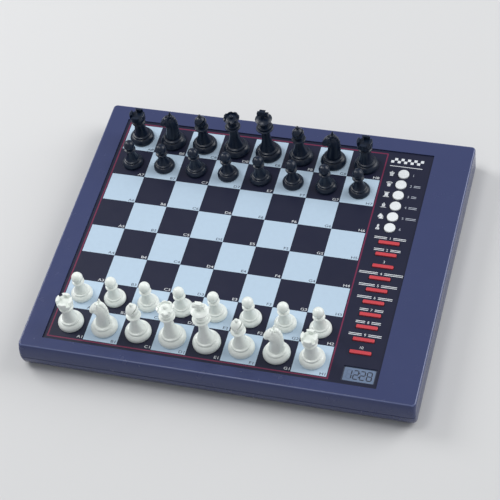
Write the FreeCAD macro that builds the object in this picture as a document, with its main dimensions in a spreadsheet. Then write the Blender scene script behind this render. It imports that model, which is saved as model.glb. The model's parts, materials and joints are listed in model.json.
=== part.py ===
import FreeCAD
import Part
import math
import os
import re
import Sketcher

# An electronic chess computer: a flat two-part casing with a pressure sensing board, a strip of keys and a
# small display, and a full set of chessmen on their starting squares. Lengths are in millimetres.
# The origin is under the middle of the casing, on the surface that the rubber feet stand on.
# X runs along the board's ranks to the right, Y away from the player, Z up.

DIMENSIONS = {
    # casing
    "casing_width": 272.0,
    "casing_depth": 224.0,
    "casing_bottom": 1.6,
    "casing_parting": 12.0,
    "casing_top": 22.4,
    "corner_radius": 3.0,
    "front_bulge": 3.4,
    "edge_round": 1.4,
    "seam_width": 0.5,
    "seam_depth": 0.45,
    "wall": 2.4,
    "floor_thickness": 2.0,
    "plate_thickness": 2.0,
    # board and printed sheet
    "square": 24.0,
    "board_left": 18.8,
    "board_front": 15.4,
    "overlay_margin": 3.6,
    "strip_width": 33.6,
    "overlay_thickness": 0.35,
    "overlay_sink": 0.8,
    "sheet_gap": 0.15,
    "foil_thickness": 0.2,
    # keys, placed from the board's near right corner
    "key_gap": 0.25,
    "key_proud": 0.9,
    "key_travel": 0.8,
    "flange_gap": 0.15,
    "flange_thickness": 1.2,
    "flange_reach": 1.6,
    "ear_width": 5.2,
    "piece_key_radius": 3.9,
    "piece_key_right": 15.6,
    "piece_key_first": 127.0,
    "piece_key_pitch": 9.75,
    "bar_key_length": 14.5,
    "bar_key_width": 2.7,
    "bar_key_round": 0.7,
    "bar_key_right": 17.8,
    "bar_key_first": 22.3,
    "bar_key_pitch": 10.19,
    "key_edge_round": 0.35,
    # display
    "display_right": 20.6,
    "display_ahead": 5.4,
    "display_width": 22.0,
    "display_height": 11.6,
    "display_border": 2.4,
    "display_sink": 0.8,
    "display_thickness": 2.8,
    # circuit board and key mat
    "circuit_thickness": 1.6,
    "circuit_top": 14.0,
    "circuit_width": 42.0,
    "circuit_inset": 1.5,
    "circuit_front": 6.0,
    "circuit_back": 4.0,
    "processor_height": 3.8,
    "resonator_height": 3.4,
    "capacitor_radius": 3.1,
    "capacitor_height": 6.5,
    "sounder_radius": 7.0,
    "sounder_height": 7.0,
    "display_strip_width": 2.0,
    "socket_height": 2.4,
    "tail_start": 40.0,
    "tail_width": 14.0,
    "tail_slot_width": 1.6,
    "mat_thickness": 0.8,
    "mat_left": 7.5,
    "mat_right": 11.0,
    "mat_end": 5.5,
    "dome_clearance": 0.2,
    # screws and bosses
    "boss_radius": 3.6,
    "small_boss_radius": 2.8,
    "screw_radius": 1.4,
    "screw_head_radius": 2.5,
    "screw_head_gap": 0.2,
    "screw_head_height": 2.0,
    "screw_length": 12.0,
    "screw_sink": 3.2,
    "screw_recess_reach": 1.5,
    "screw_recess_width": 0.7,
    "screw_recess_depth": 1.0,
    "small_screw_length": 4.6,
    # battery bay
    "cell_radius": 7.1,
    "cell_length": 49.2,
    "cell_button_radius": 2.75,
    "cell_button_length": 1.3,
    "cell_pitch": 14.8,
    "cell_height": 11.0,
    "bay_middle": -40.0,
    "bay_length": 59.0,
    "bay_wall": 1.6,
    "bay_slack": 0.6,
    "bay_wall_height": 6.6,
    "contact_thickness": 0.5,
    "contact_width": 11.0,
    "contact_height": 9.0,
    "contact_low": 1.6,
    "cell_shift": 1.0,
    "spring_radius": 3.6,
    "door_thickness": 1.7,
    "door_gap": 0.3,
    "tongue_reach": 1.2,
    "tongue_lift": 0.65,
    "tongue_thickness": 0.6,
    "groove_gap": 0.15,
    "grip_width": 18.0,
    "grip_pitch": 2.0,
    "grip_depth": 0.5,
    "sound_hole_radius": 1.1,
    "sound_hole_pitch": 5.0,
    # feet
    "foot_radius": 6.0,
    "foot_sink": 0.8,
    "foot_inset": 16.0,
    "foot_setback": 30.0,
    # chessmen: base radius, height and the main radii of each kind
    "stand_gap": 0.05,
    "collar_thickness": 1.4,
    "pawn_base": 7.6,
    "pawn_height": 22.8,
    "pawn_ball": 3.9,
    "pawn_neck": 2.8,
    "rook_base": 8.8,
    "rook_height": 26.5,
    "rook_neck": 3.9,
    "rook_crown": 5.6,
    "rook_bore": 3.6,
    "rook_notch": 2.6,
    "knight_base": 9.2,
    "knight_height": 30.0,
    "knight_thickness": 9.0,
    "bishop_base": 9.0,
    "bishop_height": 33.0,
    "bishop_neck": 3.0,
    "bishop_collar": 5.3,
    "bishop_tip": 1.35,
    "queen_base": 9.5,
    "queen_height": 36.5,
    "queen_neck": 3.5,
    "queen_crown": 5.9,
    "queen_tip": 1.5,
    "king_base": 9.5,
    "king_height": 45.0,
    "king_neck": 3.6,
    "king_crown": 6.1,
    "cross_width": 8.0,
    "cross_height": 7.4,
    "cross_thickness": 2.6,
}

BOARD_X = "(board_left - casing_width / 2)"
BOARD_Y = "(board_front - casing_depth / 2)"
BOARD_RIGHT = f"({BOARD_X} + 8 * square)"
BOARD_BACK = f"({BOARD_Y} + 8 * square)"
OVERLAY_RIGHT = f"({BOARD_RIGHT} + strip_width)"
OVERLAY_TOP = "(casing_top - overlay_sink)"
STRIP_BED = f"({OVERLAY_TOP} - overlay_thickness)"
SENSOR_BED = f"({STRIP_BED} - 3 * foil_thickness)"
PLATE_UNDER = f"({SENSOR_BED} - plate_thickness)"
FLOOR_TOP = "(casing_bottom + floor_thickness)"
INNER_X = "(casing_width / 2 - wall)"
INNER_BACK = "(casing_depth / 2 - wall)"
INNER_FRONT = "(wall + front_bulge - casing_depth / 2)"
FLANGE_TOP = f"({PLATE_UNDER} - flange_gap)"
FLANGE_UNDER = f"({FLANGE_TOP} - flange_thickness)"
MAT_TOP = "(circuit_top + mat_thickness)"
DOME_TOP = f"({FLANGE_UNDER} - key_travel - dome_clearance)"
PIECE_KEY_X = f"({BOARD_RIGHT} + piece_key_right)"
BAR_KEY_X = f"({BOARD_RIGHT} + bar_key_right)"
DISPLAY_X = f"({BOARD_RIGHT} + display_right)"
DISPLAY_Y = f"({BOARD_Y} + display_ahead)"
DISPLAY_TOP = f"({OVERLAY_TOP} - display_sink)"
BAY_LEFT = "(bay_middle - bay_length / 2)"
BAY_RIGHT = "(bay_middle + bay_length / 2)"
BAY_BACK = f"({INNER_BACK} - bay_slack)"
BAY_FRONT = f"({BAY_BACK} - 4 * cell_pitch - 2 * bay_slack)"
TONGUE_LOW = "(casing_bottom + tongue_lift)"
TAIL_LEFT = f"({BOARD_RIGHT} + overlay_margin - tail_slot_width / 2)"
TAIL_NEAR = f"({BOARD_Y} + tail_start)"
CIRCUIT_LEFT = f"({BOARD_RIGHT} + circuit_inset)"
CIRCUIT_UNDER = "(circuit_top - circuit_thickness)"

PIECE_KEYS = ["pawn", "knight", "bishop", "rook", "queen", "king"]
BAR_KEY_COUNT = 10
FILES = "abcdefgh"
BACK_RANK = ["rook", "knight", "bishop", "queen", "king", "bishop", "knight", "rook"]
CASE_SCREWS = [(-124, -98), (-124, 98), (20, -98), (20, 98), (124, -98), (124, 98)]
BOARD_SCREWS = [(79.3, 86), (79.3, -76), (114, 70), (114, -60)]
SOUNDER_SPOT = (109, 35)
CAPACITOR_SPOT = (104, 54)
PROCESSOR_EDGES = ("88", "102", "-20", "16")
RESONATOR_EDGES = ("88", "92", "24", "35")

doc = FreeCAD.newDocument("chess_computer")
nodes = []


def fill_sheet():
    """Writes the driving dimensions into a sheet, one named cell each."""
    table = doc.addObject("Spreadsheet::Sheet", "dims")
    for row, (name, number) in enumerate(DIMENSIONS.items(), 1):
        table.set(f"A{row}", name)
        table.set(f"B{row}", str(number))
        table.setAlias(f"B{row}", name)
    doc.recompute()
    return table


sheet = fill_sheet()


def linked(text):
    """The same formula with each dimension's name written as a cell of the sheet."""
    return re.sub(r"[a-z_]+", lambda word: "dims." + word[0] if word[0] in DIMENSIONS else word[0], text)


def value(text):
    """What a formula of the sheet's dimensions comes to."""
    return float(sheet.evalExpression(linked(text)))


def bind(thing, prop, text):
    thing.setExpression(prop, linked(text))


def place(thing, x="0", y="0", z="0", turn=0):
    """Puts a sub-part at a point given by formulas, turned about Z by whole degrees."""
    thing.Placement = FreeCAD.Placement(FreeCAD.Vector(0, 0, 0), FreeCAD.Rotation(turn, 0, 0))
    for axis, text in (("x", x), ("y", y), ("z", z)):
        bind(thing, f"Placement.Base.{axis}", text)


def new_body(label):
    body = doc.addObject("PartDesign::Body", label)
    body.Label = label
    return body


def as_node(thing, label):
    """Marks a finished sub-part, which is written out under its label."""
    thing.Label = label
    nodes.append(thing)
    return thing


def new_sketch(body, role, height="0"):
    """A sketch on one of a body's own planes, moved along the plane's normal by a formula."""
    sketch = body.newObject("Sketcher::SketchObject", "outline")
    plane = next(feature for feature in body.Origin.OriginFeatures if feature.Role == role)
    sketch.AttachmentSupport = [(plane, "")]
    sketch.MapMode = "FlatFace"
    bind(sketch, "AttachmentOffset.Base.z", height)
    return sketch


def pin_point(sketch, curve, end, x, y):
    for kind, text in (("DistanceX", x), ("DistanceY", y)):
        index = sketch.addConstraint(Sketcher.Constraint(kind, -1, 1, curve, end, value(text)))
        bind(sketch, f"Constraints[{index}]", text)


def arc_between(start, end, radius, turn):
    """The short arc from start to end; turn 1 runs anticlockwise and -1 clockwise."""
    along = end - start
    middle = (start + end) * 0.5
    aside = FreeCAD.Vector(-along.y, along.x, 0).normalize()
    reach = math.sqrt(max(radius**2 - (along.Length / 2) ** 2, 0))
    centre = middle + aside * (reach * turn)
    first, last = (start, end) if turn > 0 else (end, start)
    angles = [math.atan2((point - centre).y, (point - centre).x) for point in (first, last)]
    circle = Part.Circle(centre, FreeCAD.Vector(0, 0, 1), radius)
    return Part.ArcOfCircle(circle, angles[0], angles[1])


def draw_outline(sketch, points):
    """A closed outline. A point is (x, y), or (x, y, radius, turn) where an arc leads to it."""
    spots = [FreeCAD.Vector(value(point[0]), value(point[1]), 0) for point in points]
    ends = []
    for index, point in enumerate(points):
        start = spots[index - 1]
        if len(point) == 2:
            curve = sketch.addGeometry(Part.LineSegment(start, spots[index]))
            ends.append((curve, 1, 2))
        else:
            radius, turn = point[2], point[3]
            curve = sketch.addGeometry(arc_between(start, spots[index], value(radius), turn))
            ends.append((curve, 1, 2) if turn > 0 else (curve, 2, 1))
            bound = sketch.addConstraint(Sketcher.Constraint("Radius", curve, value(radius)))
            bind(sketch, f"Constraints[{bound}]", radius)
    for index, point in enumerate(points):
        curve, _, finish = ends[index]
        after, begin, _ = ends[(index + 1) % len(points)]
        sketch.addConstraint(Sketcher.Constraint("Coincident", curve, finish, after, begin))
        pin_point(sketch, curve, finish, point[0], point[1])


def draw_rectangle(sketch, left, right, near, far):
    draw_outline(sketch, [(left, near), (right, near), (right, far), (left, far)])


def draw_rounded_rectangle(sketch, left, right, near, far, radius):
    draw_outline(
        sketch,
        [
            (f"{right} - {radius}", near),
            (right, f"{near} + {radius}", radius, 1),
            (right, f"{far} - {radius}"),
            (f"{right} - {radius}", far, radius, 1),
            (f"{left} + {radius}", far),
            (left, f"{far} - {radius}", radius, 1),
            (left, f"{near} + {radius}"),
            (f"{left} + {radius}", near, radius, 1),
        ],
    )


def draw_circle(sketch, x, y, radius):
    centre = FreeCAD.Vector(value(x), value(y), 0)
    curve = sketch.addGeometry(Part.Circle(centre, FreeCAD.Vector(0, 0, 1), value(radius)))
    pin_point(sketch, curve, 3, x, y)
    bound = sketch.addConstraint(Sketcher.Constraint("Radius", curve, value(radius)))
    bind(sketch, f"Constraints[{bound}]", radius)


def pad(body, sketch, length, side="One side", downward=False):
    feature = body.newObject("PartDesign::Pad", "pad")
    feature.Profile = sketch
    feature.SideType = side
    feature.Reversed = downward
    bind(feature, "Length", length)
    doc.recompute()
    return feature


def cut(body, sketch, depth, upward=False, side="One side"):
    """Pockets an outline into a body, and makes sure that this took material away."""
    before = body.Shape.Volume
    feature = body.newObject("PartDesign::Pocket", "pocket")
    feature.Profile = sketch
    feature.SideType = side
    feature.Reversed = upward
    bind(feature, "Length", depth)
    doc.recompute()
    if body.Shape.Volume > before - 1e-6:
        raise ValueError(f"{body.Label}: {sketch.Name} cuts nothing")
    return feature


def revolve(body, points):
    """Turns an outline of (radius, height) points about the body's upright axis."""
    sketch = new_sketch(body, "XZ_Plane")
    draw_outline(sketch, points)
    feature = body.newObject("PartDesign::Revolution", "turned")
    feature.Profile = sketch
    feature.ReferenceAxis = (sketch, ["V_Axis"])
    feature.Angle = 360
    doc.recompute()
    return feature


def round_edges(body, radius, chosen):
    """Rounds the edges of a body's last feature that a test on each edge picks."""
    base = body.Tip
    names = [f"Edge{index}" for index, edge in enumerate(base.Shape.Edges, 1) if chosen(edge)]
    if not names:
        raise ValueError(f"{body.Label}: no edge to round")
    feature = body.newObject("PartDesign::Fillet", "rounded")
    feature.Base = (base, names)
    bind(feature, "Radius", radius)
    doc.recompute()
    if not feature.isValid():
        raise ValueError(f"{body.Label}: {radius} does not fit its edges")
    return feature


def spans(edge, low, high):
    """True where an edge runs from one height to another."""
    return abs(edge.BoundBox.ZMin - low) < 1e-4 and abs(edge.BoundBox.ZMax - high) < 1e-4


def lies_at(edge, height):
    """True where a whole edge lies at one height."""
    return spans(edge, height, height)


def shell_block(body, low, high, front_points):
    """The solid block of one shell: its side outline across the full width, with its four corners rounded."""
    back = "casing_depth / 2"
    side = new_sketch(body, "YZ_Plane")
    draw_outline(side, front_points + [(back, high), (back, low)])
    pad(body, side, "casing_width", "Symmetric")
    under, over = value(low), value(high)
    round_edges(body, "corner_radius", lambda edge: spans(edge, under, over))


def cut_seam(body):
    """The fine groove round the casing where the upper shell meets the lower one."""
    groove = new_sketch(body, "XY_Plane", "casing_parting")
    draw_rectangle(groove, "-casing_width", "casing_width", "-casing_depth", "casing_depth")
    draw_rounded_rectangle(
        groove,
        "-casing_width / 2 + seam_depth",
        "casing_width / 2 - seam_depth",
        "-casing_depth / 2 + seam_depth",
        "casing_depth / 2 - seam_depth",
        "(corner_radius - seam_depth)",
    )
    cut(body, groove, "seam_width", upward=True)


def bulge_radius():
    """The front face is one shallow arc from the bottom edge to the top edge."""
    rise = "(casing_top - casing_parting)"
    return f"(({rise}^2 + front_bulge^2) / (2 * front_bulge))"


def draw_key_openings(sketch, gap):
    """The holes that the keys and the display need, each wider than its key by a gap."""
    for row in range(len(PIECE_KEYS)):
        draw_circle(sketch, PIECE_KEY_X, piece_key_y(row), f"piece_key_radius + {gap}")
    for row in range(BAR_KEY_COUNT):
        half_length = f"(bar_key_length / 2 + {gap})"
        half_width = f"(bar_key_width / 2 + {gap})"
        draw_rectangle(
            sketch,
            f"{BAR_KEY_X} - {half_length}",
            f"{BAR_KEY_X} + {half_length}",
            f"{bar_key_y(row)} - {half_width}",
            f"{bar_key_y(row)} + {half_width}",
        )
    draw_display_window(sketch, "0")


def draw_display_window(sketch, border):
    draw_rectangle(
        sketch,
        f"{DISPLAY_X} - display_width / 2 - ({border})",
        f"{DISPLAY_X} + display_width / 2 + ({border})",
        f"{DISPLAY_Y} - display_height / 2 - ({border})",
        f"{DISPLAY_Y} + display_height / 2 + ({border})",
    )


def piece_key_y(row):
    return f"({BOARD_Y} + piece_key_first + {row} * piece_key_pitch)"


def bar_key_y(row):
    return f"({BOARD_Y} + bar_key_first + {row} * bar_key_pitch)"


def draw_sheet_outline(sketch, right, margin):
    """The board's outline and a margin, reaching right as far as asked."""
    draw_rectangle(
        sketch,
        f"{BOARD_X} - ({margin})",
        right,
        f"{BOARD_Y} - ({margin})",
        f"{BOARD_BACK} + ({margin})",
    )


def make_top_housing():
    body = new_body("top_housing")
    front = "-casing_depth / 2"
    shell_block(
        body,
        "casing_parting",
        "casing_top",
        [(front, "casing_parting"), (f"{front} + front_bulge", "casing_top", bulge_radius(), -1)],
    )
    top = value("casing_top")
    round_edges(body, "edge_round", lambda edge: lies_at(edge, top))
    cut_seam(body)
    bed = new_sketch(body, "XY_Plane", STRIP_BED)
    draw_sheet_outline(bed, f"{OVERLAY_RIGHT} + sheet_gap", "overlay_margin + sheet_gap")
    cut(body, bed, f"casing_top - {STRIP_BED}", upward=True)
    sensor_bed = new_sketch(body, "XY_Plane", SENSOR_BED)
    draw_sheet_outline(sensor_bed, f"{BOARD_RIGHT} + overlay_margin", "overlay_margin")
    cut(body, sensor_bed, f"{STRIP_BED} - {SENSOR_BED}", upward=True)
    cavity = new_sketch(body, "XY_Plane", "casing_parting")
    draw_rounded_rectangle(cavity, f"-{INNER_X}", INNER_X, INNER_FRONT, INNER_BACK, "corner_radius")
    cut(body, cavity, f"{PLATE_UNDER} - casing_parting", upward=True)
    holes = new_sketch(body, "XY_Plane", PLATE_UNDER)
    draw_key_openings(holes, "key_gap")
    cut(body, holes, f"casing_top - {PLATE_UNDER}", upward=True)
    cell_seat = new_sketch(body, "XY_Plane", PLATE_UNDER)
    draw_display_window(cell_seat, "display_border + sheet_gap")
    cut(body, cell_seat, f"{DISPLAY_TOP} - {PLATE_UNDER}", upward=True)
    slot = new_sketch(body, "XY_Plane", PLATE_UNDER)
    draw_rectangle(
        slot, TAIL_LEFT, f"{TAIL_LEFT} + tail_slot_width", TAIL_NEAR, f"{TAIL_NEAR} + tail_width + 2"
    )
    cut(body, slot, f"casing_top - {PLATE_UNDER}", upward=True)
    add_bosses(body, CASE_SCREWS, "boss_radius", "casing_parting")
    add_bosses(body, BOARD_SCREWS, "small_boss_radius", "circuit_top")
    return as_node(body, "top_housing")


def add_bosses(body, spots, radius, low):
    """Round bosses under the plate, down to one height, each with a pilot hole for its screw."""
    outlines = new_sketch(body, "XY_Plane", low)
    pilots = new_sketch(body, "XY_Plane", low)
    for x, y in spots:
        draw_circle(outlines, str(x), str(y), radius)
        draw_circle(pilots, str(x), str(y), "screw_radius")
    pad(body, outlines, f"{PLATE_UNDER} - {low}")
    cut(body, pilots, f"{PLATE_UNDER} - {low}", upward=True)


def make_bottom_housing():
    body = new_body("bottom_housing")
    front = "-casing_depth / 2"
    shell_block(
        body,
        "casing_bottom",
        "casing_parting",
        [(f"{front} + front_bulge", "casing_bottom"), (front, "casing_parting", bulge_radius(), -1)],
    )
    bottom = value("casing_bottom")
    round_edges(body, "edge_round", lambda edge: lies_at(edge, bottom))
    tray = new_sketch(body, "XY_Plane", FLOOR_TOP)
    draw_rounded_rectangle(tray, f"-{INNER_X}", INNER_X, INNER_FRONT, INNER_BACK, "corner_radius")
    cut(body, tray, f"casing_parting - {FLOOR_TOP}", upward=True)
    posts = new_sketch(body, "XY_Plane", FLOOR_TOP)
    shafts = new_sketch(body, "XY_Plane", "casing_bottom")
    sinks = new_sketch(body, "XY_Plane", "casing_bottom")
    for x, y in CASE_SCREWS:
        draw_circle(posts, str(x), str(y), "boss_radius")
        draw_circle(shafts, str(x), str(y), "screw_radius")
        draw_circle(sinks, str(x), str(y), "screw_head_radius + screw_head_gap")
    pad(body, posts, f"casing_parting - {FLOOR_TOP}")
    cut(body, shafts, "casing_parting - casing_bottom", upward=True)
    cut(body, sinks, "screw_sink", upward=True)
    add_battery_bay(body)
    pads = new_sketch(body, "XY_Plane", "casing_bottom")
    for x, y in foot_spots():
        draw_circle(pads, x, y, "foot_radius")
    cut(body, pads, "foot_sink", upward=True)
    holes = new_sketch(body, "XY_Plane", "casing_bottom")
    for column in (-1, 0, 1):
        for row in (-1, 0, 1):
            x = f"{SOUNDER_SPOT[0]} + {column} * sound_hole_pitch"
            y = f"{SOUNDER_SPOT[1]} + {row} * sound_hole_pitch"
            draw_circle(holes, x, y, "sound_hole_radius")
    cut(body, holes, "floor_thickness", upward=True)
    return as_node(body, "bottom_housing")


def add_battery_bay(body):
    """Low walls round the cells, the opening for the door, and the grooves that its tongues slide in."""
    walls = new_sketch(body, "XY_Plane", FLOOR_TOP)
    draw_rectangle(
        walls,
        f"{BAY_LEFT} - bay_wall",
        f"{BAY_RIGHT} + bay_wall",
        f"{BAY_FRONT} - bay_wall",
        f"{INNER_BACK} + bay_slack",
    )
    pad(body, walls, "bay_wall_height")
    inside = new_sketch(body, "XY_Plane", "casing_bottom")
    draw_rectangle(inside, BAY_LEFT, BAY_RIGHT, BAY_FRONT, BAY_BACK)
    cut(body, inside, "casing_parting - casing_bottom", upward=True)
    mouth = new_sketch(body, "XY_Plane", "casing_bottom")
    draw_rectangle(mouth, BAY_LEFT, BAY_RIGHT, BAY_FRONT, "casing_depth / 2 + 1")
    cut(body, mouth, "floor_thickness", upward=True)
    grooves = new_sketch(body, "XY_Plane", f"{TONGUE_LOW} - groove_gap")
    draw_rectangle(
        grooves,
        f"{BAY_LEFT} - tongue_reach",
        f"{BAY_RIGHT} + tongue_reach",
        BAY_FRONT,
        "casing_depth / 2 + 1",
    )
    cut(body, grooves, "tongue_thickness + 2 * groove_gap", upward=True)


def make_battery_door():
    """The sliding cover: a plate with a tongue along each side and a ribbed thumb grip."""
    body = new_body("battery_door")
    back = "casing_depth / 2 - door_gap"
    plate = new_sketch(body, "XY_Plane", "casing_bottom")
    draw_rectangle(
        plate, f"{BAY_LEFT} + door_gap", f"{BAY_RIGHT} - door_gap", f"{BAY_FRONT} + door_gap", back
    )
    pad(body, plate, "door_thickness")
    tongues = new_sketch(body, "XY_Plane", TONGUE_LOW)
    draw_rectangle(
        tongues,
        f"{BAY_LEFT} - tongue_reach + door_gap",
        f"{BAY_RIGHT} + tongue_reach - door_gap",
        f"{BAY_FRONT} + door_gap",
        f"{INNER_BACK} - 1",
    )
    pad(body, tongues, "tongue_thickness")
    grip = new_sketch(body, "XY_Plane", "casing_bottom")
    for rib in range(2, 7):
        far = f"({back} - {rib} * grip_pitch)"
        near = f"{far} - grip_pitch / 2"
        draw_rectangle(grip, "bay_middle - grip_width / 2", "bay_middle + grip_width / 2", near, far)
    cut(body, grip, "grip_depth", upward=True)
    return as_node(body, "battery_door")


def make_cell(row):
    """One round cell, lying along X, with its button towards the contact plate."""
    body = new_body(f"cell_{row}")
    revolve(
        body,
        [
            ("0", "0"),
            ("cell_radius", "0"),
            ("cell_radius", "cell_length"),
            ("cell_button_radius", "cell_length"),
            ("cell_button_radius", "cell_length + cell_button_length"),
            ("0", "cell_length + cell_button_length"),
        ],
    )
    flip = 1 if row % 2 else -1
    turned = FreeCAD.Rotation(FreeCAD.Vector(0, 1, 0), 90 * flip)
    body.Placement = FreeCAD.Placement(FreeCAD.Vector(0, 0, 0), turned)
    bind(body, "Placement.Base.x", f"bay_middle - {flip} * (cell_length / 2 - cell_shift)")
    bind(body, "Placement.Base.y", cell_y(row))
    bind(body, "Placement.Base.z", "cell_height")
    return body


def cell_y(row):
    return f"({BAY_BACK} - bay_slack - ({row} + 0.5) * cell_pitch)"


def gather(label, members):
    """Identical or related small pieces, each its own solid, kept together under one name."""
    group = doc.addObject("Part::Compound", label)
    group.Links = members
    doc.recompute()
    return as_node(group, label)


def make_box(label, left, right, near, far, low, high):
    box = doc.addObject("Part::Box", label)
    bind(box, "Length", f"{right} - ({left})")
    bind(box, "Width", f"{far} - ({near})")
    bind(box, "Height", f"{high} - ({low})")
    place(box, left, near, low)
    return box


def make_cylinder(label, x, y, low, high, radius):
    cylinder = doc.addObject("Part::Cylinder", label)
    bind(cylinder, "Radius", radius)
    bind(cylinder, "Height", f"{high} - ({low})")
    place(cylinder, x, y, low)
    return cylinder


def make_contacts():
    """A flat plate at the button end of each cell and a plate with a spring at its other end."""
    members = []
    for row in range(4):
        flip = 1 if row % 2 else -1
        near = f"{cell_y(row)} - contact_width / 2"
        far = f"{cell_y(row)} + contact_width / 2"
        low = f"{FLOOR_TOP} + contact_low"
        high = f"{low} + contact_height"
        left_plate = make_box(
            "left_plate", BAY_LEFT, f"{BAY_LEFT} + contact_thickness", near, far, low, high
        )
        right_plate = make_box(
            "right_plate", f"{BAY_RIGHT} - contact_thickness", BAY_RIGHT, near, far, low, high
        )
        members += [left_plate, right_plate, make_end_spring(row, flip)]
    return gather("battery_contacts", members)


def make_end_spring(row, flip):
    """A squat end spring, drawn as the cone that its turns fill, from the plate to the cell's flat end."""
    cone = doc.addObject("Part::Cone", "end_spring")
    reach = "(bay_length / 2 - contact_thickness - (cell_length / 2 - cell_shift))"
    bind(cone, "Radius1", "spring_radius")
    bind(cone, "Radius2", "spring_radius * 0.6")
    bind(cone, "Height", reach)
    turned = FreeCAD.Rotation(FreeCAD.Vector(0, 1, 0), 90 * flip)
    cone.Placement = FreeCAD.Placement(FreeCAD.Vector(0, 0, 0), turned)
    bind(cone, "Placement.Base.x", f"bay_middle - {flip} * (bay_length / 2 - contact_thickness)")
    bind(cone, "Placement.Base.y", cell_y(row))
    bind(cone, "Placement.Base.z", "cell_height")
    return cone


def make_sensor_sheet():
    """Upper foil, spacer and lower foil under the board, and the tail that goes to the circuit board."""
    members = []
    for layer in range(3):
        low = f"({SENSOR_BED} + {layer} * foil_thickness)"
        members.append(
            make_box(
                f"foil_{layer}",
                f"{BOARD_X} - overlay_margin + sheet_gap",
                f"{BOARD_RIGHT} + overlay_margin - sheet_gap",
                f"{BOARD_Y} - overlay_margin + sheet_gap",
                f"{BOARD_BACK} + overlay_margin - sheet_gap",
                low,
                f"{low} + foil_thickness",
            )
        )
    members.append(
        make_box(
            "tail",
            f"{TAIL_LEFT} + foil_thickness",
            f"{TAIL_LEFT} + 2 * foil_thickness",
            f"{TAIL_NEAR} + 1",
            f"{TAIL_NEAR} + 1 + tail_width",
            "circuit_top + socket_height",
            SENSOR_BED,
        )
    )
    return gather("sensor_sheet", members)


def make_overlay():
    body = new_body("board_overlay")
    outline = new_sketch(body, "XY_Plane", STRIP_BED)
    draw_sheet_outline(outline, OVERLAY_RIGHT, "overlay_margin")
    draw_key_openings(outline, "key_gap")
    pad(body, outline, "overlay_thickness")
    return as_node(body, "board_overlay")


def make_display():
    cell = make_box(
        "display_cell",
        f"{DISPLAY_X} - display_width / 2 - display_border",
        f"{DISPLAY_X} + display_width / 2 + display_border",
        f"{DISPLAY_Y} - display_height / 2 - display_border",
        f"{DISPLAY_Y} + display_height / 2 + display_border",
        f"{DISPLAY_TOP} - display_thickness",
        DISPLAY_TOP,
    )
    return as_node(cell, "display_cell")


def make_hanging_can(name, spot):
    """A round can soldered under the circuit board."""
    x, y = (str(number) for number in spot)
    return make_cylinder(name, x, y, f"{CIRCUIT_UNDER} - {name}_height", CIRCUIT_UNDER, f"{name}_radius")


def make_circuit_board():
    """The board with what is soldered to it: most parts hang under it, the connectors stand on it."""
    board = make_box(
        "circuit_plate",
        CIRCUIT_LEFT,
        f"{CIRCUIT_LEFT} + circuit_width",
        f"{BOARD_Y} - circuit_front",
        f"{BOARD_BACK} - circuit_back",
        CIRCUIT_UNDER,
        "circuit_top",
    )
    drilled = board
    for x, y in BOARD_SCREWS:
        hole = make_cylinder(
            "screw_hole", str(x), str(y), f"{CIRCUIT_UNDER} - 1", "circuit_top + 1", "screw_radius"
        )
        rest = doc.addObject("Part::Cut", "drilled_plate")
        rest.Base = drilled
        rest.Tool = hole
        drilled = rest
    processor = make_box(
        "processor", *PROCESSOR_EDGES, f"{CIRCUIT_UNDER} - processor_height", CIRCUIT_UNDER
    )
    resonator = make_box(
        "resonator", *RESONATOR_EDGES, f"{CIRCUIT_UNDER} - resonator_height", CIRCUIT_UNDER
    )
    capacitor = make_hanging_can("capacitor", CAPACITOR_SPOT)
    sounder = make_hanging_can("sounder", SOUNDER_SPOT)
    socket = make_box(
        "foil_socket",
        f"{TAIL_LEFT} - 1",
        f"{TAIL_LEFT} + 2",
        TAIL_NEAR,
        f"{TAIL_NEAR} + tail_width + 2",
        "circuit_top",
        "circuit_top + socket_height",
    )
    members = [drilled, processor, resonator, capacitor, sounder, socket]
    for side in (-1, 1):
        middle = f"({DISPLAY_Y} + {side} * (display_height / 2 + display_border - display_strip_width / 2))"
        members.append(
            make_box(
                "display_strip",
                f"{DISPLAY_X} - display_width / 2",
                f"{DISPLAY_X} + display_width / 2",
                f"{middle} - display_strip_width / 2",
                f"{middle} + display_strip_width / 2",
                "circuit_top",
                f"{DISPLAY_TOP} - display_thickness",
            )
        )
    return gather("circuit_board", members)


def make_key_mat():
    """The rubber mat on the circuit board, with a dome under each key, drawn at its pressed height."""
    body = new_body("key_mat")
    mat = new_sketch(body, "XY_Plane", "circuit_top")
    draw_rectangle(
        mat,
        f"{PIECE_KEY_X} - mat_left",
        f"{BAR_KEY_X} + mat_right",
        f"{bar_key_y(0)} - mat_end",
        f"{piece_key_y(len(PIECE_KEYS) - 1)} + mat_end",
    )
    pad(body, mat, "mat_thickness")
    domes = new_sketch(body, "XY_Plane", MAT_TOP)
    for row in range(len(PIECE_KEYS)):
        draw_circle(domes, PIECE_KEY_X, piece_key_y(row), "piece_key_radius - 1")
    for row in range(BAR_KEY_COUNT):
        draw_circle(domes, BAR_KEY_X, bar_key_y(row), "bar_key_width")
    pad(body, domes, f"{DOME_TOP} - {MAT_TOP}")
    return as_node(body, "key_mat")


def finish_key(body, label, x, y):
    """Rounds a key's top edge and puts the key in its hole."""
    top = value(f"{OVERLAY_TOP} + key_proud")
    round_edges(body, "key_edge_round", lambda edge: lies_at(edge, top))
    place(body, x, y)
    return as_node(body, label)


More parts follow.
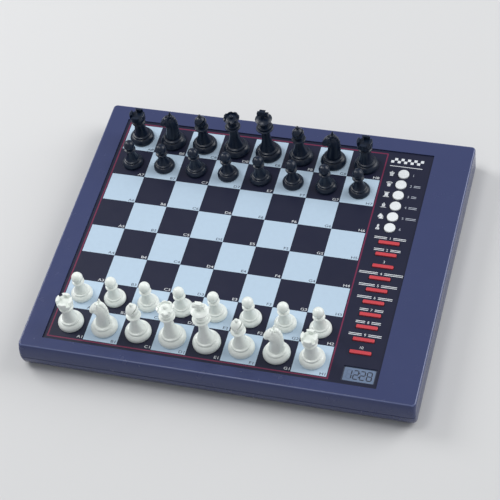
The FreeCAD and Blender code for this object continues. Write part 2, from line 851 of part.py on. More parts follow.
def make_piece_key(row):
    """A round key. Its two ears, left and right, stop it under the plate."""
    label = f"key_{PIECE_KEYS[row]}"
    body = new_body(label)
    ears = new_sketch(body, "XY_Plane", FLANGE_UNDER)
    reach = "(piece_key_radius + flange_reach)"
    draw_rectangle(ears, f"-{reach}", reach, "-ear_width / 2", "ear_width / 2")
    pad(body, ears, "flange_thickness")
    cap = new_sketch(body, "XY_Plane", FLANGE_UNDER)
    draw_circle(cap, "0", "0", "piece_key_radius")
    pad(body, cap, f"{OVERLAY_TOP} + key_proud - {FLANGE_UNDER}")
    return finish_key(body, label, PIECE_KEY_X, piece_key_y(row))


def make_bar_key(row):
    """A slim key with a flange all round."""
    label = f"function_key_{BAR_KEY_COUNT - row}"
    body = new_body(label)
    half_length = "bar_key_length / 2"
    half_width = "bar_key_width / 2"
    flange = new_sketch(body, "XY_Plane", FLANGE_UNDER)
    flange_length = f"({half_length} + flange_reach)"
    flange_width = f"({half_width} + flange_reach)"
    draw_rectangle(flange, f"-{flange_length}", flange_length, f"-{flange_width}", flange_width)
    pad(body, flange, "flange_thickness")
    cap = new_sketch(body, "XY_Plane", FLANGE_UNDER)
    draw_rounded_rectangle(
        cap, f"-{half_length}", half_length, f"-{half_width}", half_width, "bar_key_round"
    )
    pad(body, cap, f"{OVERLAY_TOP} + key_proud - {FLANGE_UNDER}")
    return finish_key(body, label, BAR_KEY_X, bar_key_y(row))


def foot_spots():
    across = "(casing_width / 2 - foot_inset)"
    along = "(casing_depth / 2 - foot_setback)"
    return [(f"{sx} * {across}", f"{sy} * {along}") for sx in (-1, 1) for sy in (-1, 1)]


def make_feet():
    feet = [
        make_cylinder("foot", x, y, "0", "casing_bottom + foot_sink", "foot_radius") for x, y in foot_spots()
    ]
    return gather("rubber_feet", feet)


def draw_plus(sketch, reach, half):
    """A cross of two crossing bars, drawn as one outline."""
    quarter = [(reach, f"-({half})"), (reach, half), (half, half)]
    points = []
    for _ in range(4):
        points += quarter
        quarter = [(f"-({y})", x) for x, y in quarter]
    draw_outline(sketch, points)


def make_screw(x, y, head_low, length):
    """A screw that points up, with a cross recess in the underside of its head."""
    body = new_body("screw")
    head_top = f"({head_low} + screw_head_height)"
    head = new_sketch(body, "XY_Plane", head_low)
    draw_circle(head, "0", "0", "screw_head_radius")
    pad(body, head, "screw_head_height")
    shank = new_sketch(body, "XY_Plane", head_top)
    draw_circle(shank, "0", "0", "screw_radius")
    pad(body, shank, length)
    recess = new_sketch(body, "XY_Plane", head_low)
    draw_plus(recess, "screw_recess_reach", "screw_recess_width / 2")
    cut(body, recess, "screw_recess_depth", upward=True)
    place(body, str(x), str(y))
    return body


def make_screws():
    """The six screws of the casing, and the four that hold the circuit board to the top shell."""
    head_low = "(casing_bottom + screw_sink - screw_head_height)"
    screws = [make_screw(x, y, head_low, "screw_length") for x, y in CASE_SCREWS]
    board_head = f"({CIRCUIT_UNDER} - screw_head_height)"
    screws += [make_screw(x, y, board_head, "small_screw_length") for x, y in BOARD_SCREWS]
    return gather("case_screws", screws)


def foot_outline(kind, stem):
    """The turned foot that every chessman shares: rim, round skirt, ring, and the start of the stem."""
    base = f"{kind}_base"
    return [
        ("0", "0"),
        (f"{base} * 0.96", "0"),
        (base, f"{base} * 0.05"),
        (base, f"{base} * 0.2"),
        (f"{base} * 0.8", f"{base} * 0.5", f"{base} * 0.44", 1),
        (f"{base} * 0.72", f"{base} * 0.53"),
        (f"{base} * 0.72", f"{base} * 0.68", f"{base} * 0.09", 1),
        (stem, f"{base} * 0.72"),
    ]


def collar_outline(neck, low, radius, thickness):
    """A round-edged disc on a neck, from one height upwards."""
    return [
        (f"{radius} - {thickness} / 2", low),
        (f"{radius} - {thickness} / 2", f"{low} + {thickness}", f"{thickness} * 0.52", 1),
        (neck, f"{low} + {thickness} * 1.25"),
    ]


def pawn_outline():
    ball_low = "pawn_height - pawn_ball - sqrt(pawn_ball^2 - pawn_neck^2)"
    return (
        foot_outline("pawn", "pawn_base * 0.63")
        + [("pawn_neck", "pawn_height * 0.6", "pawn_height * 0.8", -1)]
        + collar_outline("pawn_neck", "pawn_height * 0.61", "pawn_ball * 1.12", "collar_thickness")
        + [("pawn_neck", ball_low), ("0", "pawn_height", "pawn_ball", 1)]
    )


def rook_outline():
    return (
        foot_outline("rook", "rook_base * 0.61")
        + [("rook_neck", "rook_height * 0.64", "rook_height * 0.9", -1)]
        + collar_outline("rook_neck", "rook_height * 0.65", "rook_crown * 0.92", "collar_thickness")
        + [
            ("rook_crown * 0.96", "rook_height * 0.8", "rook_crown * 0.7", -1),
            ("rook_crown", "rook_height * 0.82"),
            ("rook_crown", "rook_height - 0.3"),
            ("rook_crown - 0.3", "rook_height"),
            ("rook_bore", "rook_height"),
            ("rook_bore", "rook_height * 0.885"),
            ("0", "rook_height * 0.885"),
        ]
    )


def bishop_outline():
    tip_low = "bishop_height - bishop_tip - sqrt(bishop_tip^2 - (bishop_tip * 0.6)^2)"
    return (
        foot_outline("bishop", "bishop_base * 0.61")
        + [("bishop_neck", "bishop_height * 0.58", "bishop_height * 0.9", -1)]
        + collar_outline("bishop_neck", "bishop_height * 0.59", "bishop_collar", "collar_thickness")
        + [
            ("bishop_neck", "bishop_height * 0.675"),
            ("bishop_tip * 0.6", tip_low, "bishop_height * 0.155", 1),
            ("0", "bishop_height", "bishop_tip", 1),
        ]
    )


def queen_outline():
    rim = "queen_height * 0.925"
    thin = "collar_thickness * 0.7"
    tip_low = "queen_height - queen_tip - sqrt(queen_tip^2 - (queen_tip * 0.8)^2)"
    return (
        foot_outline("queen", "queen_base * 0.61")
        + [("queen_neck", "queen_height * 0.66", "queen_height * 0.95", -1)]
        + collar_outline("queen_neck", "queen_height * 0.665", "queen_crown * 0.98", "collar_thickness")
        + collar_outline("queen_neck * 0.95", "queen_height * 0.72", "queen_crown * 0.76", thin)
        + [
            ("queen_crown * 0.97", rim, "queen_height * 0.26", -1),
            ("queen_crown", f"{rim} + 0.5"),
            ("queen_crown - 1", f"{rim} + 0.9"),
            ("queen_crown - 1.5", f"{rim} - 0.5"),
            ("queen_tip * 0.8", tip_low, "queen_crown * 1.1", 1),
            ("0", "queen_height", "queen_tip", 1),
        ]
    )


def king_outline():
    rim = "(king_height - cross_height) * 0.965"
    thin = "collar_thickness * 0.8"
    return (
        foot_outline("king", "king_base * 0.61")
        + [("king_neck", "king_height * 0.6", "king_height * 0.85", -1)]
        + collar_outline("king_neck", "king_height * 0.605", "king_crown * 1.05", "collar_thickness")
        + collar_outline("king_neck * 0.95", "king_height * 0.652", "king_crown * 0.84", thin)
        + [
            ("king_crown * 0.97", rim, "king_height * 0.24", -1),
            ("king_crown", f"{rim} + 0.6"),
            ("king_crown - 0.7", f"{rim} + 1"),
            ("cross_thickness * 0.75", "king_height - cross_height + 0.6", "king_crown * 1.3", 1),
            ("0", "king_height - cross_height + 0.6"),
        ]
    )


OUTLINES = {
    "pawn": pawn_outline,
    "rook": rook_outline,
    "bishop": bishop_outline,
    "queen": queen_outline,
    "king": king_outline,
}


def cut_rook_notches(body):
    """Two crossing channels in the crown leave four battlements."""
    long_side = "rook_crown * 1.2"
    short_side = "rook_notch / 2"
    for x, y in ((long_side, short_side), (short_side, long_side)):
        channel = new_sketch(body, "XY_Plane", "rook_height * 0.89")
        draw_rectangle(channel, f"-{x}", x, f"-{y}", y)
        cut(body, channel, "rook_height * 0.2", upward=True)


def cut_mitre(body):
    """The slanted cut in the bishop's mitre."""
    slit = new_sketch(body, "XZ_Plane")
    draw_outline(
        slit,
        [
            ("bishop_collar * 0.15", "bishop_height * 0.79"),
            ("bishop_collar", "bishop_height * 0.9"),
            ("bishop_collar", "bishop_height * 0.93"),
            ("bishop_collar * 0.1", "bishop_height * 0.815"),
        ],
    )
    cut(body, slit, "bishop_collar * 2", side="Symmetric")


def cut_coronet(body):
    """Eight round scallops in the rim of the queen's crown."""
    scallops = new_sketch(body, "XY_Plane", "queen_height * 0.925")
    for step in range(8):
        x = f"queen_crown * cos({step} * 45)"
        y = f"queen_crown * sin({step} * 45)"
        draw_circle(scallops, x, y, "queen_crown * 0.17")
    cut(body, scallops, "2", upward=True)


def add_cross(body):
    """A cross with flared arms on the king's crown, standing across the board."""
    low = "(king_height - cross_height)"
    arm_low = f"({low} + cross_height * 0.36)"
    arm_high = f"({low} + cross_height * 0.76)"
    half = "cross_width / 2"
    waist = "cross_width * 0.15"
    tip = "cross_width * 0.28"
    right = [
        ("cross_width * 0.2", low),
        (waist, f"{arm_low} + cross_height * 0.08"),
        (half, arm_low),
        (half, arm_high),
        (waist, f"{arm_high} - cross_height * 0.06"),
        (tip, "king_height"),
    ]
    left = [(f"-({x})", z) for x, z in reversed(right)]
    outline = new_sketch(body, "XZ_Plane")
    draw_outline(outline, right + left)
    pad(body, outline, "cross_thickness", "Symmetric")


DETAILS = {
    "rook": cut_rook_notches,
    "bishop": cut_mitre,
    "queen": cut_coronet,
    "king": add_cross,
}


def add_horse_head(body):
    """The knight's head: a side outline with its nose towards -X, thinned towards the ears and the nose."""
    low = "knight_base * 0.6"
    side = new_sketch(body, "XZ_Plane")
    draw_outline(
        side,
        [
            ("knight_base * 0.59", low),
            ("knight_base * 0.59", "knight_height * 0.56", "knight_height * 0.6", -1),
            ("knight_base * 0.42", "knight_height * 0.87", "knight_height * 0.42", 1),
            ("knight_base * 0.2", "knight_height"),
            ("-knight_base * 0.06", "knight_height * 0.93"),
            ("-knight_base * 0.58", "knight_height * 0.71", "knight_height * 0.6", 1),
            ("-knight_base * 0.77", "knight_height * 0.6"),
            ("-knight_base * 0.62", "knight_height * 0.53", "knight_base * 0.15", 1),
            ("-knight_base * 0.37", "knight_height * 0.545"),
            ("-knight_base * 0.06", "knight_height * 0.6", "knight_base * 0.44", -1),
            ("-knight_base * 0.26", "knight_height * 0.47"),
            ("-knight_base * 0.56", low, "knight_height * 0.36", 1),
        ],
    )
    pad(body, side, "knight_thickness", "Symmetric")
    thin_horse_head(body, low)


def thin_horse_head(body, low):
    """Cuts both sides of the head: a slope that narrows upwards, and a taper to the nose."""
    above = "(knight_height + 1)"
    slope_points = [
        ("knight_thickness * 0.5", f"{low} + 1"),
        ("knight_thickness * 0.43", "knight_height * 0.6"),
        ("knight_thickness * 0.26", above),
        ("knight_thickness", above),
        ("knight_thickness", low),
    ]
    nose_points = [
        ("-knight_base", "knight_thickness * 0.24"),
        ("-knight_base * 0.6", "knight_thickness * 0.27"),
        ("-knight_base * 0.11", "knight_thickness * 0.51"),
        ("-knight_base", "knight_thickness * 0.51"),
    ]
    for way in (-1, 1):
        slope = new_sketch(body, "YZ_Plane")
        draw_outline(slope, [(f"{way} * ({y})", z) for y, z in slope_points])
        cut(body, slope, "3 * knight_base", side="Symmetric")
        nose = new_sketch(body, "XY_Plane", "knight_height * 0.5")
        draw_outline(nose, [(x, f"{way} * ({y})") for x, y in nose_points])
        cut(body, nose, above, upward=True)


def make_chessman(kind, side, column, rank):
    """One loose chessman on its square; side is white or black, rank counts from the near edge."""
    royal = kind in ("king", "queen")
    label = f"{side}_{kind}" if royal else f"{side}_{kind}_{FILES[column]}"
    body = new_body(label)
    if kind == "knight":
        add_horse_head(body)
        revolve(body, foot_outline("knight", "knight_base * 0.62") + [("0", "knight_base * 0.72")])
    else:
        revolve(body, OUTLINES[kind]())
        if kind in DETAILS:
            DETAILS[kind](body)
    turn = 45 if kind == "rook" else 0
    x = f"{BOARD_X} + square * ({column} + 0.5)"
    y = f"{BOARD_Y} + square * ({rank} + 0.5)"
    place(body, x, y, f"{OVERLAY_TOP} + stand_gap", turn)
    return as_node(body, label)


def make_chess_set():
    for side, back, front in (("white", 0, 1), ("black", 7, 6)):
        for column, kind in enumerate(BACK_RANK):
            make_chessman(kind, side, column, back)
            make_chessman("pawn", side, column, front)


def make_everything():
    make_top_housing()
    make_bottom_housing()
    make_battery_door()
    gather("battery_cells", [make_cell(row) for row in range(4)])
    make_contacts()
    make_sensor_sheet()
    make_overlay()
    make_display()
    make_circuit_board()
    make_key_mat()
    for row in range(len(PIECE_KEYS)):
        make_piece_key(row)
    for row in range(BAR_KEY_COUNT):
        make_bar_key(row)
    make_feet()
    make_screws()
    make_chess_set()


def check_everything():
    """Stops the build if any object failed, or a sub-part's shape is empty or not valid."""
    doc.recompute()
    for thing in doc.Objects:
        if "Invalid" in thing.State or "Error" in thing.State:
            raise ValueError(f"{thing.Label} did not build: {thing.State}")
    for node in nodes:
        if node.Shape.isNull() or not node.Shape.isValid() or not node.Shape.Solids:
            raise ValueError(f"{node.Label} has no valid solid")


def write_everything():
    os.makedirs("parts", exist_ok=True)
    for node in nodes:
        node.Shape.exportStep(os.path.join("parts", f"{node.Label}.step"))
        print(f"{node.Label}: {len(node.Shape.Solids)} solid(s), {node.Shape.Volume / 1000:.2f} cm3")


make_everything()
check_everything()
write_everything()
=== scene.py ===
# %% [markdown]
# # A chess computer and its men
# The solids of the part arrive as a finished frame: two shells, a printed sheet, keys, a display
# and a full set of chessmen. This lesson gives each of them its finish, prints the board and the
# control strip, draws the figures of the display and carves the knights. Everything is in metres,
# in the frame's own place.

import json
import math

import bpy
from mathutils import Matrix, Vector

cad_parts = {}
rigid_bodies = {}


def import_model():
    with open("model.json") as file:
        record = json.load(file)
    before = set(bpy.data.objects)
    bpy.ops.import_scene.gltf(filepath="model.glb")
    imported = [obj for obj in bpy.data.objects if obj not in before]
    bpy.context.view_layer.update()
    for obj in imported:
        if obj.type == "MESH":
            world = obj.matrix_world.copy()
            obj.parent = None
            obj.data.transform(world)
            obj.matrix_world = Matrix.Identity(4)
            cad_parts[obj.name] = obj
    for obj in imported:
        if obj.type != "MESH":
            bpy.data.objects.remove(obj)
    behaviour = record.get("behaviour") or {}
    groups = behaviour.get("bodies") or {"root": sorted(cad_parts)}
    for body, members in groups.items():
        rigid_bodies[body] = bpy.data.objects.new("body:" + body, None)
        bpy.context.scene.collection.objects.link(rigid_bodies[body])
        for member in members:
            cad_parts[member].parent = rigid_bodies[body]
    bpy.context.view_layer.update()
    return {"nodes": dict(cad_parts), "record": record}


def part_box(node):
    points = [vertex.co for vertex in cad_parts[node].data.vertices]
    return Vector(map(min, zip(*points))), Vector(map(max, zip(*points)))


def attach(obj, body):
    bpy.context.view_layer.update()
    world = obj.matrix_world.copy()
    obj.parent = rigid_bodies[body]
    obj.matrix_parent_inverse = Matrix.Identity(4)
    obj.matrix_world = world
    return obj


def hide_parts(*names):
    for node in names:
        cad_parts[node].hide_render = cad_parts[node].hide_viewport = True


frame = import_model()
nodes = frame["nodes"]
MM = 0.001

# %% [markdown]
# ## Where things are
# The board is measured from the men that stand on it. Two rooks on one rank are seven squares
# apart, which gives the size of a square and the board's near left corner. The print lies on the
# top of the sheet.

# %% Measure the board
def middle(node):
    low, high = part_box(node)
    return (low + high) / 2


SQUARES = 8
near_left = middle("white_rook_a")
near_right = middle("white_rook_h")
SQUARE = (near_right.x - near_left.x) / (SQUARES - 1)
BOARD_LEFT = near_left.x - SQUARE / 2
BOARD_NEAR = near_left.y - SQUARE / 2
BOARD_SIDE = SQUARES * SQUARE
BOARD_MIDDLE = Vector((BOARD_LEFT + BOARD_SIDE / 2, BOARD_NEAR + BOARD_SIDE / 2, 0))
SHEET_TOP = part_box("board_overlay")[1].z
print(f"square {SQUARE / MM:.2f} mm, sheet top {SHEET_TOP / MM:.2f} mm")

# %% [markdown]
# ## The camera
# The computer is looked down on from the player's right, with the camera leaning a little to one
# side. A camera could be placed by eye; here its direction is given by two angles and a roll, so
# that the same view comes back each time. A long lens keeps the far edge nearly as wide as the
# near one.

# %% Place the camera
CAMERA_AZIMUTH = math.radians(22.8)
CAMERA_ELEVATION = math.radians(51.6)
CAMERA_ROLL = math.radians(-10.4)
CAMERA_DISTANCE = 1.16
CAMERA_TARGET = Vector((-0.001, -0.003, 0.02))
CAMERA_LENS = 121
CAMERA_NEAR = 0.01
CAMERA_FAR = 50

camera_data = bpy.data.cameras.new("camera")
camera = bpy.data.objects.new("camera", camera_data)
bpy.context.scene.collection.objects.link(camera)
bpy.context.scene.camera = camera
backward = Vector((
    math.sin(CAMERA_AZIMUTH) * math.cos(CAMERA_ELEVATION),
    -math.cos(CAMERA_AZIMUTH) * math.cos(CAMERA_ELEVATION),
    math.sin(CAMERA_ELEVATION),
))
aim = backward.to_track_quat("Z", "Y").to_matrix().to_4x4()
camera.matrix_world = (
    Matrix.Translation(CAMERA_TARGET + backward * CAMERA_DISTANCE)
    @ aim
    @ Matrix.Rotation(CAMERA_ROLL, 4, "Z")
)
camera_data.lens = CAMERA_LENS
camera_data.clip_start = CAMERA_NEAR
camera_data.clip_end = CAMERA_FAR
print("camera at", [round(number, 3) for number in camera.matrix_world.translation])

# %% [markdown]
# ## Floor and light
# A plain pale floor and soft lamps show the shapes without drama. Each lamp is a round area lamp
# that looks at the origin. Those at the left and at the right stand somewhat behind the computer,
# so its front wall lies in shade. Both are well away from the direction that the flat board would
# mirror into the camera, so the dark squares stay dark. The lamp at the right is large, because a
# large lamp of the same power is less bright wherever it is mirrored. It also lights the right
# wall. A small lamp overhead draws a light line along the rounded front edge, and the sky fills
# the shadows.

# %% Lay the floor
FLOOR_SIZE = 12
FLOOR_GREY = (0.66, 0.66, 0.66, 1)
FLOOR_ROUGHNESS = 0.9

bpy.ops.object.select_all(action="DESELECT")
bpy.ops.mesh.primitive_plane_add(size=FLOOR_SIZE)
floor = bpy.context.object
floor.name = "floor"
floor_paper = bpy.data.materials.new("floor_paper")
floor_paper.use_nodes = True
paper = floor_paper.node_tree.nodes["Principled BSDF"]
paper.inputs["Base Color"].default_value = FLOOR_GREY
paper.inputs["Roughness"].default_value = FLOOR_ROUGHNESS
paper.inputs["Specular IOR Level"].default_value = 0
floor.data.materials.append(floor_paper)
print("floor laid,", FLOOR_SIZE, "m wide")

# %% Hang the lamps
LAMPS = {  # name: place, width in metres, power in watts
    "lamp_left": ((-1.1, 0.35, 0.9), 0.75, 9),
    "lamp_right": ((1.55, 0.95, 1.2), 1.9, 30),
    "lamp_top": ((-0.3, -0.08, 1.25), 0.4, 3),
}
SKY_COLOUR = (0.93, 0.96, 1, 1)
SKY_STRENGTH = 0.42

for name, (place, width, power) in LAMPS.items():
    data = bpy.data.lights.new(name, "AREA")
    data.shape = "DISK"
    data.size = width
    data.energy = power
    lamp = bpy.data.objects.new(name, data)
    bpy.context.scene.collection.objects.link(lamp)
    aim = (-Vector(place)).to_track_quat("-Z", "Y").to_matrix().to_4x4()
    lamp.matrix_world = Matrix.Translation(place) @ aim

sky = bpy.data.worlds.new("sky")
bpy.context.scene.world = sky
sky.use_nodes = True
sky.node_tree.nodes["Background"].inputs["Color"].default_value = SKY_COLOUR
sky.node_tree.nodes["Background"].inputs["Strength"].default_value = SKY_STRENGTH
bpy.context.scene.view_settings.view_transform = "Standard"
print(len(LAMPS), "lamps and a sky")

# %% [markdown]
# ## Moulded plastic
# Nearly all of this object is moulded plastic. Moulded plastic is never quite even: its colour
# drifts a little, its gloss varies where hands have rubbed it, and a spark-eroded mould leaves a
# fine grain. Three noise textures give these three things. They read Object coordinates, so the
# grain keeps its real size. The white men let a little light into their plastic, which softens
# their shadows.

# %% Build a plastic
NOISE_LOW = 0.3
NOISE_HIGH = 0.7
COAT_ROUGHNESS = 0.1


def noise(tree, place, size, detail):
    """A noise texture whose lumps are about size across, in metres."""
    texture = tree.nodes.new("ShaderNodeTexNoise")
    texture.inputs["Scale"].default_value = 1 / size
    texture.inputs["Detail"].default_value = detail
    tree.links.new(place.outputs["Object"], texture.inputs["Vector"])
    return texture.outputs["Fac"]


def plastic(
    name, colour, shade, rough,
    drift=25 * MM, grain=0.5 * MM, depth=0.02 * MM, coat=0.0, gloss=0.5
):
    """A moulded plastic between two colours and two values of roughness.

    The colour drifts over the length drift, and the grain has lumps of its size and depth.
    """
    finish = bpy.data.materials.new(name)
    finish.use_nodes = True
    tree = finish.node_tree
    shader = tree.nodes["Principled BSDF"]
    place = tree.nodes.new("ShaderNodeTexCoord")

    tint = tree.nodes.new("ShaderNodeMix")
    tint.data_type = "RGBA"
    tint.inputs["A"].default_value = (*colour, 1)
    tint.inputs["B"].default_value = (*shade, 1)
    tree.links.new(noise(tree, place, drift, detail=3), tint.inputs["Factor"])
    tree.links.new(tint.outputs["Result"], shader.inputs["Base Color"])

    span = tree.nodes.new("ShaderNodeMapRange")
    span.inputs["From Min"].default_value = NOISE_LOW
    span.inputs["From Max"].default_value = NOISE_HIGH
    span.inputs["To Min"].default_value = rough[0]
    span.inputs["To Max"].default_value = rough[1]
    tree.links.new(noise(tree, place, drift / 3, detail=5), span.inputs["Value"])
    tree.links.new(span.outputs["Result"], shader.inputs["Roughness"])

    bump = tree.nodes.new("ShaderNodeBump")
    bump.inputs["Strength"].default_value = 1
    bump.inputs["Distance"].default_value = depth
    tree.links.new(noise(tree, place, grain, detail=2), bump.inputs["Height"])
    tree.links.new(bump.outputs["Normal"], shader.inputs["Normal"])
    shader.inputs["Coat Weight"].default_value = coat
    shader.inputs["Coat Roughness"].default_value = COAT_ROUGHNESS
    shader.inputs["Specular IOR Level"].default_value = gloss
    return finish


print("a plastic can be mixed")

# %% Mix the casing's, the sheet's and the keys' plastics
casing_blue = plastic(
    "casing_blue", (0.039, 0.051, 0.138), (0.036, 0.047, 0.128), (0.22, 0.28), depth=0.007 * MM
)
sheet_dark = plastic(
    "sheet_dark", (0.0105, 0.0125, 0.036), (0.0095, 0.0115, 0.033), (0.36, 0.42),
    grain=0.3 * MM, depth=0.006 * MM, gloss=0.35
)
key_white = plastic(
    "key_white", (0.78, 0.81, 0.83), (0.74, 0.77, 0.79), (0.3, 0.4),
    drift=6 * MM, grain=0.6 * MM, depth=0.008 * MM
)
key_red = plastic(
    "key_red", (0.58, 0.055, 0.07), (0.52, 0.045, 0.06), (0.3, 0.42),
    drift=6 * MM, grain=0.6 * MM, depth=0.008 * MM
)
print("casing, sheet and key plastics mixed")

# %% Mix the men's plastics
LIGHT_INTO_IVORY = 0.3
LIGHT_DEPTH = 0.8 * MM

ivory = plastic(
    "ivory", (0.84, 0.88, 0.84), (0.8, 0.84, 0.8), (0.26, 0.34),
    drift=12 * MM, grain=3 * MM, depth=0.02 * MM, coat=0.2
)
ivory_shader = ivory.node_tree.nodes["Principled BSDF"]
ivory_shader.inputs["Subsurface Weight"].default_value = LIGHT_INTO_IVORY
ivory_shader.inputs["Subsurface Radius"].default_value = (1, 1, 1)
ivory_shader.inputs["Subsurface Scale"].default_value = LIGHT_DEPTH
ebony = plastic(
    "ebony", (0.006, 0.013, 0.032), (0.004, 0.01, 0.024), (0.26, 0.36),
    drift=12 * MM, grain=3 * MM, depth=0.02 * MM, gloss=0.4
)
print("ivory and ebony mixed")

# %% Mix what is underneath and inside
rubber = plastic(
    "rubber", (0.02, 0.02, 0.021), (0.03, 0.03, 0.031), (0.75, 0.9),
    drift=8 * MM, grain=0.5 * MM, depth=0.04 * MM
)
mat_rubber = plastic("mat_rubber", (0.33, 0.33, 0.34), (0.29, 0.29, 0.3), (0.6, 0.75))
circuit_lacquer = plastic(
    "circuit_lacquer", (0.025, 0.15, 0.06), (0.02, 0.11, 0.05), (0.3, 0.45),
    drift=6 * MM, grain=1.2 * MM, depth=0.03 * MM
)
foil = plastic(
    "foil", (0.7, 0.66, 0.5), (0.64, 0.6, 0.44), (0.15, 0.25), grain=2 * MM, depth=0.01 * MM
)
glass_edge = plastic(
    "glass_edge", (0.05, 0.065, 0.1), (0.043, 0.055, 0.088), (0.12, 0.16),
    drift=8 * MM, grain=3 * MM, depth=0.003 * MM, coat=1.0
)
print("rubber, lacquer, foil and glass mixed")

# %% [markdown]
# ## Painted highlight on the rounded edges
# The rounded top edges of the casing are painted paler than the rest. This is a painted
# highlight, which stands for the light line that the lamps draw along them. A painted
# mask could say where they are. Here the direction of the surface says it: on a rounded top
# edge it points neither straight up, as on the top, nor outwards, as on a wall. Two smooth
# steps on its upward part pick out what lies between.

# %% Paint a highlight on the casing's edges
# A painted highlight: the paler colour that the rounded top edges are mixed towards, and how far.
EDGE_HIGHLIGHT_COLOUR = (0.11, 0.135, 0.27)
EDGE_HIGHLIGHT_MIX = 0.8
WALL_ENDS = (0.62, 0.74)
TOP_STARTS = (0.93, 0.985)


def smooth_step(tree, position, start, end):
    """Rises smoothly from 0 to 1 between start and end."""
    node = tree.nodes.new("ShaderNodeMapRange")
    node.interpolation_type = "SMOOTHSTEP"
    node.inputs["From Min"].default_value = start
    node.inputs["From Max"].default_value = end
    tree.links.new(position, node.inputs["Value"])
    return node.outputs["Result"]


def math_node(tree, operation, first, second):
    """One sum on two inputs, each a socket or a number."""
    node = tree.nodes.new("ShaderNodeMath")
    node.operation = operation
    for socket, given in zip(node.inputs, (first, second)):
        if isinstance(given, (int, float)):
            socket.default_value = given
        else:
            tree.links.new(given, socket)
    return node.outputs["Value"]


tree = casing_blue.node_tree
shader = tree.nodes["Principled BSDF"]
plain_tint = shader.inputs["Base Color"].links[0].from_socket
facing = tree.nodes.new("ShaderNodeSeparateXYZ")
tree.links.new(tree.nodes["Texture Coordinate"].outputs["Normal"], facing.inputs["Vector"])
off_wall = smooth_step(tree, facing.outputs["Z"], *WALL_ENDS)
on_top = smooth_step(tree, facing.outputs["Z"], *TOP_STARTS)
rounded = math_node(tree, "MULTIPLY", off_wall, math_node(tree, "SUBTRACT", 1, on_top))
# The painted highlight mixes the plain colour towards the paler one on the rounded edges.
edge_highlight = tree.nodes.new("ShaderNodeMix")
edge_highlight.data_type = "RGBA"
edge_highlight.inputs["B"].default_value = (*EDGE_HIGHLIGHT_COLOUR, 1)
tree.links.new(math_node(tree, "MULTIPLY", rounded, EDGE_HIGHLIGHT_MIX), edge_highlight.inputs["Factor"])
tree.links.new(plain_tint, edge_highlight.inputs["A"])
tree.links.new(edge_highlight.outputs["Result"], shader.inputs["Base Color"])
# The rounded edges now carry a painted highlight.
print("edges rubbed")

# %% [markdown]
# ## Metal
# The screws and the battery contacts are plated steel. Noise that is stretched one way looks like
# the fine lines that drawing and rolling leave in such parts.

# %% Build the metal finish
STEEL = (0.66, 0.66, 0.68)
LINE_SCALE = 300
LINE_STRETCH = (1, 12, 12)
LINE_SHADE = 0.8


def metal(name, colour, rough):
    """A plated metal with fine lines along X, between two values of roughness."""
    finish = bpy.data.materials.new(name)
    finish.use_nodes = True
    tree = finish.node_tree
    shader = tree.nodes["Principled BSDF"]
    shader.inputs["Metallic"].default_value = 1
    place = tree.nodes.new("ShaderNodeTexCoord")
    stretch = tree.nodes.new("ShaderNodeMapping")
    stretch.inputs["Scale"].default_value = LINE_STRETCH
    lines = tree.nodes.new("ShaderNodeTexNoise")
    lines.inputs["Scale"].default_value = LINE_SCALE
    tint = tree.nodes.new("ShaderNodeMix")
    tint.data_type = "RGBA"
    tint.inputs["A"].default_value = (*colour, 1)
    tint.inputs["B"].default_value = (*[LINE_SHADE * part for part in colour], 1)
    span = tree.nodes.new("ShaderNodeMapRange")
    span.inputs["To Min"].default_value = rough[0]
    span.inputs["To Max"].default_value = rough[1]
    tree.links.new(place.outputs["Object"], stretch.inputs["Vector"])
    tree.links.new(stretch.outputs["Vector"], lines.inputs["Vector"])
    tree.links.new(lines.outputs["Fac"], tint.inputs["Factor"])
    tree.links.new(tint.outputs["Result"], shader.inputs["Base Color"])
    tree.links.new(lines.outputs["Fac"], span.inputs["Value"])
    tree.links.new(span.outputs["Result"], shader.inputs["Roughness"])
    return finish


plated_steel = metal("plated_steel", STEEL, (0.22, 0.4))
print("metal ready")

# %% [markdown]
# ## The cells
# A battery cell is a steel can in a printed sleeve. The sleeve is dark with an ochre band at the
# plus end, and bare steel shows at both ends. The four cells lie along X and point left and right
# by turns. The material finds the row of a cell from Y, turns X round in every second row, and
# reads one colour ramp along the cell.

# %% Build the cell finish
CELL_LOW, CELL_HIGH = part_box("battery_cells")
CELL_COUNT = 4
CELL_ROW = (CELL_HIGH.y - CELL_LOW.y) / CELL_COUNT
CELL_REACH = 60 * MM
SLEEVE_DARK = (0.03, 0.032, 0.036)
SLEEVE_OCHRE = (0.5, 0.25, 0.06)
SLEEVE_START = 0.1
BAND_START = 0.68
SLEEVE_END = 0.9


def ramp(tree, position, stops):
    """A colour ramp of hard steps, each given as the place where it starts and its colour."""
    node = tree.nodes.new("ShaderNodeValToRGB")
    node.color_ramp.interpolation = "CONSTANT"
    steps = node.color_ramp.elements
    steps.remove(steps[1])
    steps[0].color = (*stops[0][1], 1)
    for start, colour in stops[1:]:
        steps.new(start).color = (*colour, 1)
    tree.links.new(position, node.inputs["Fac"])
    return node.outputs["Color"]


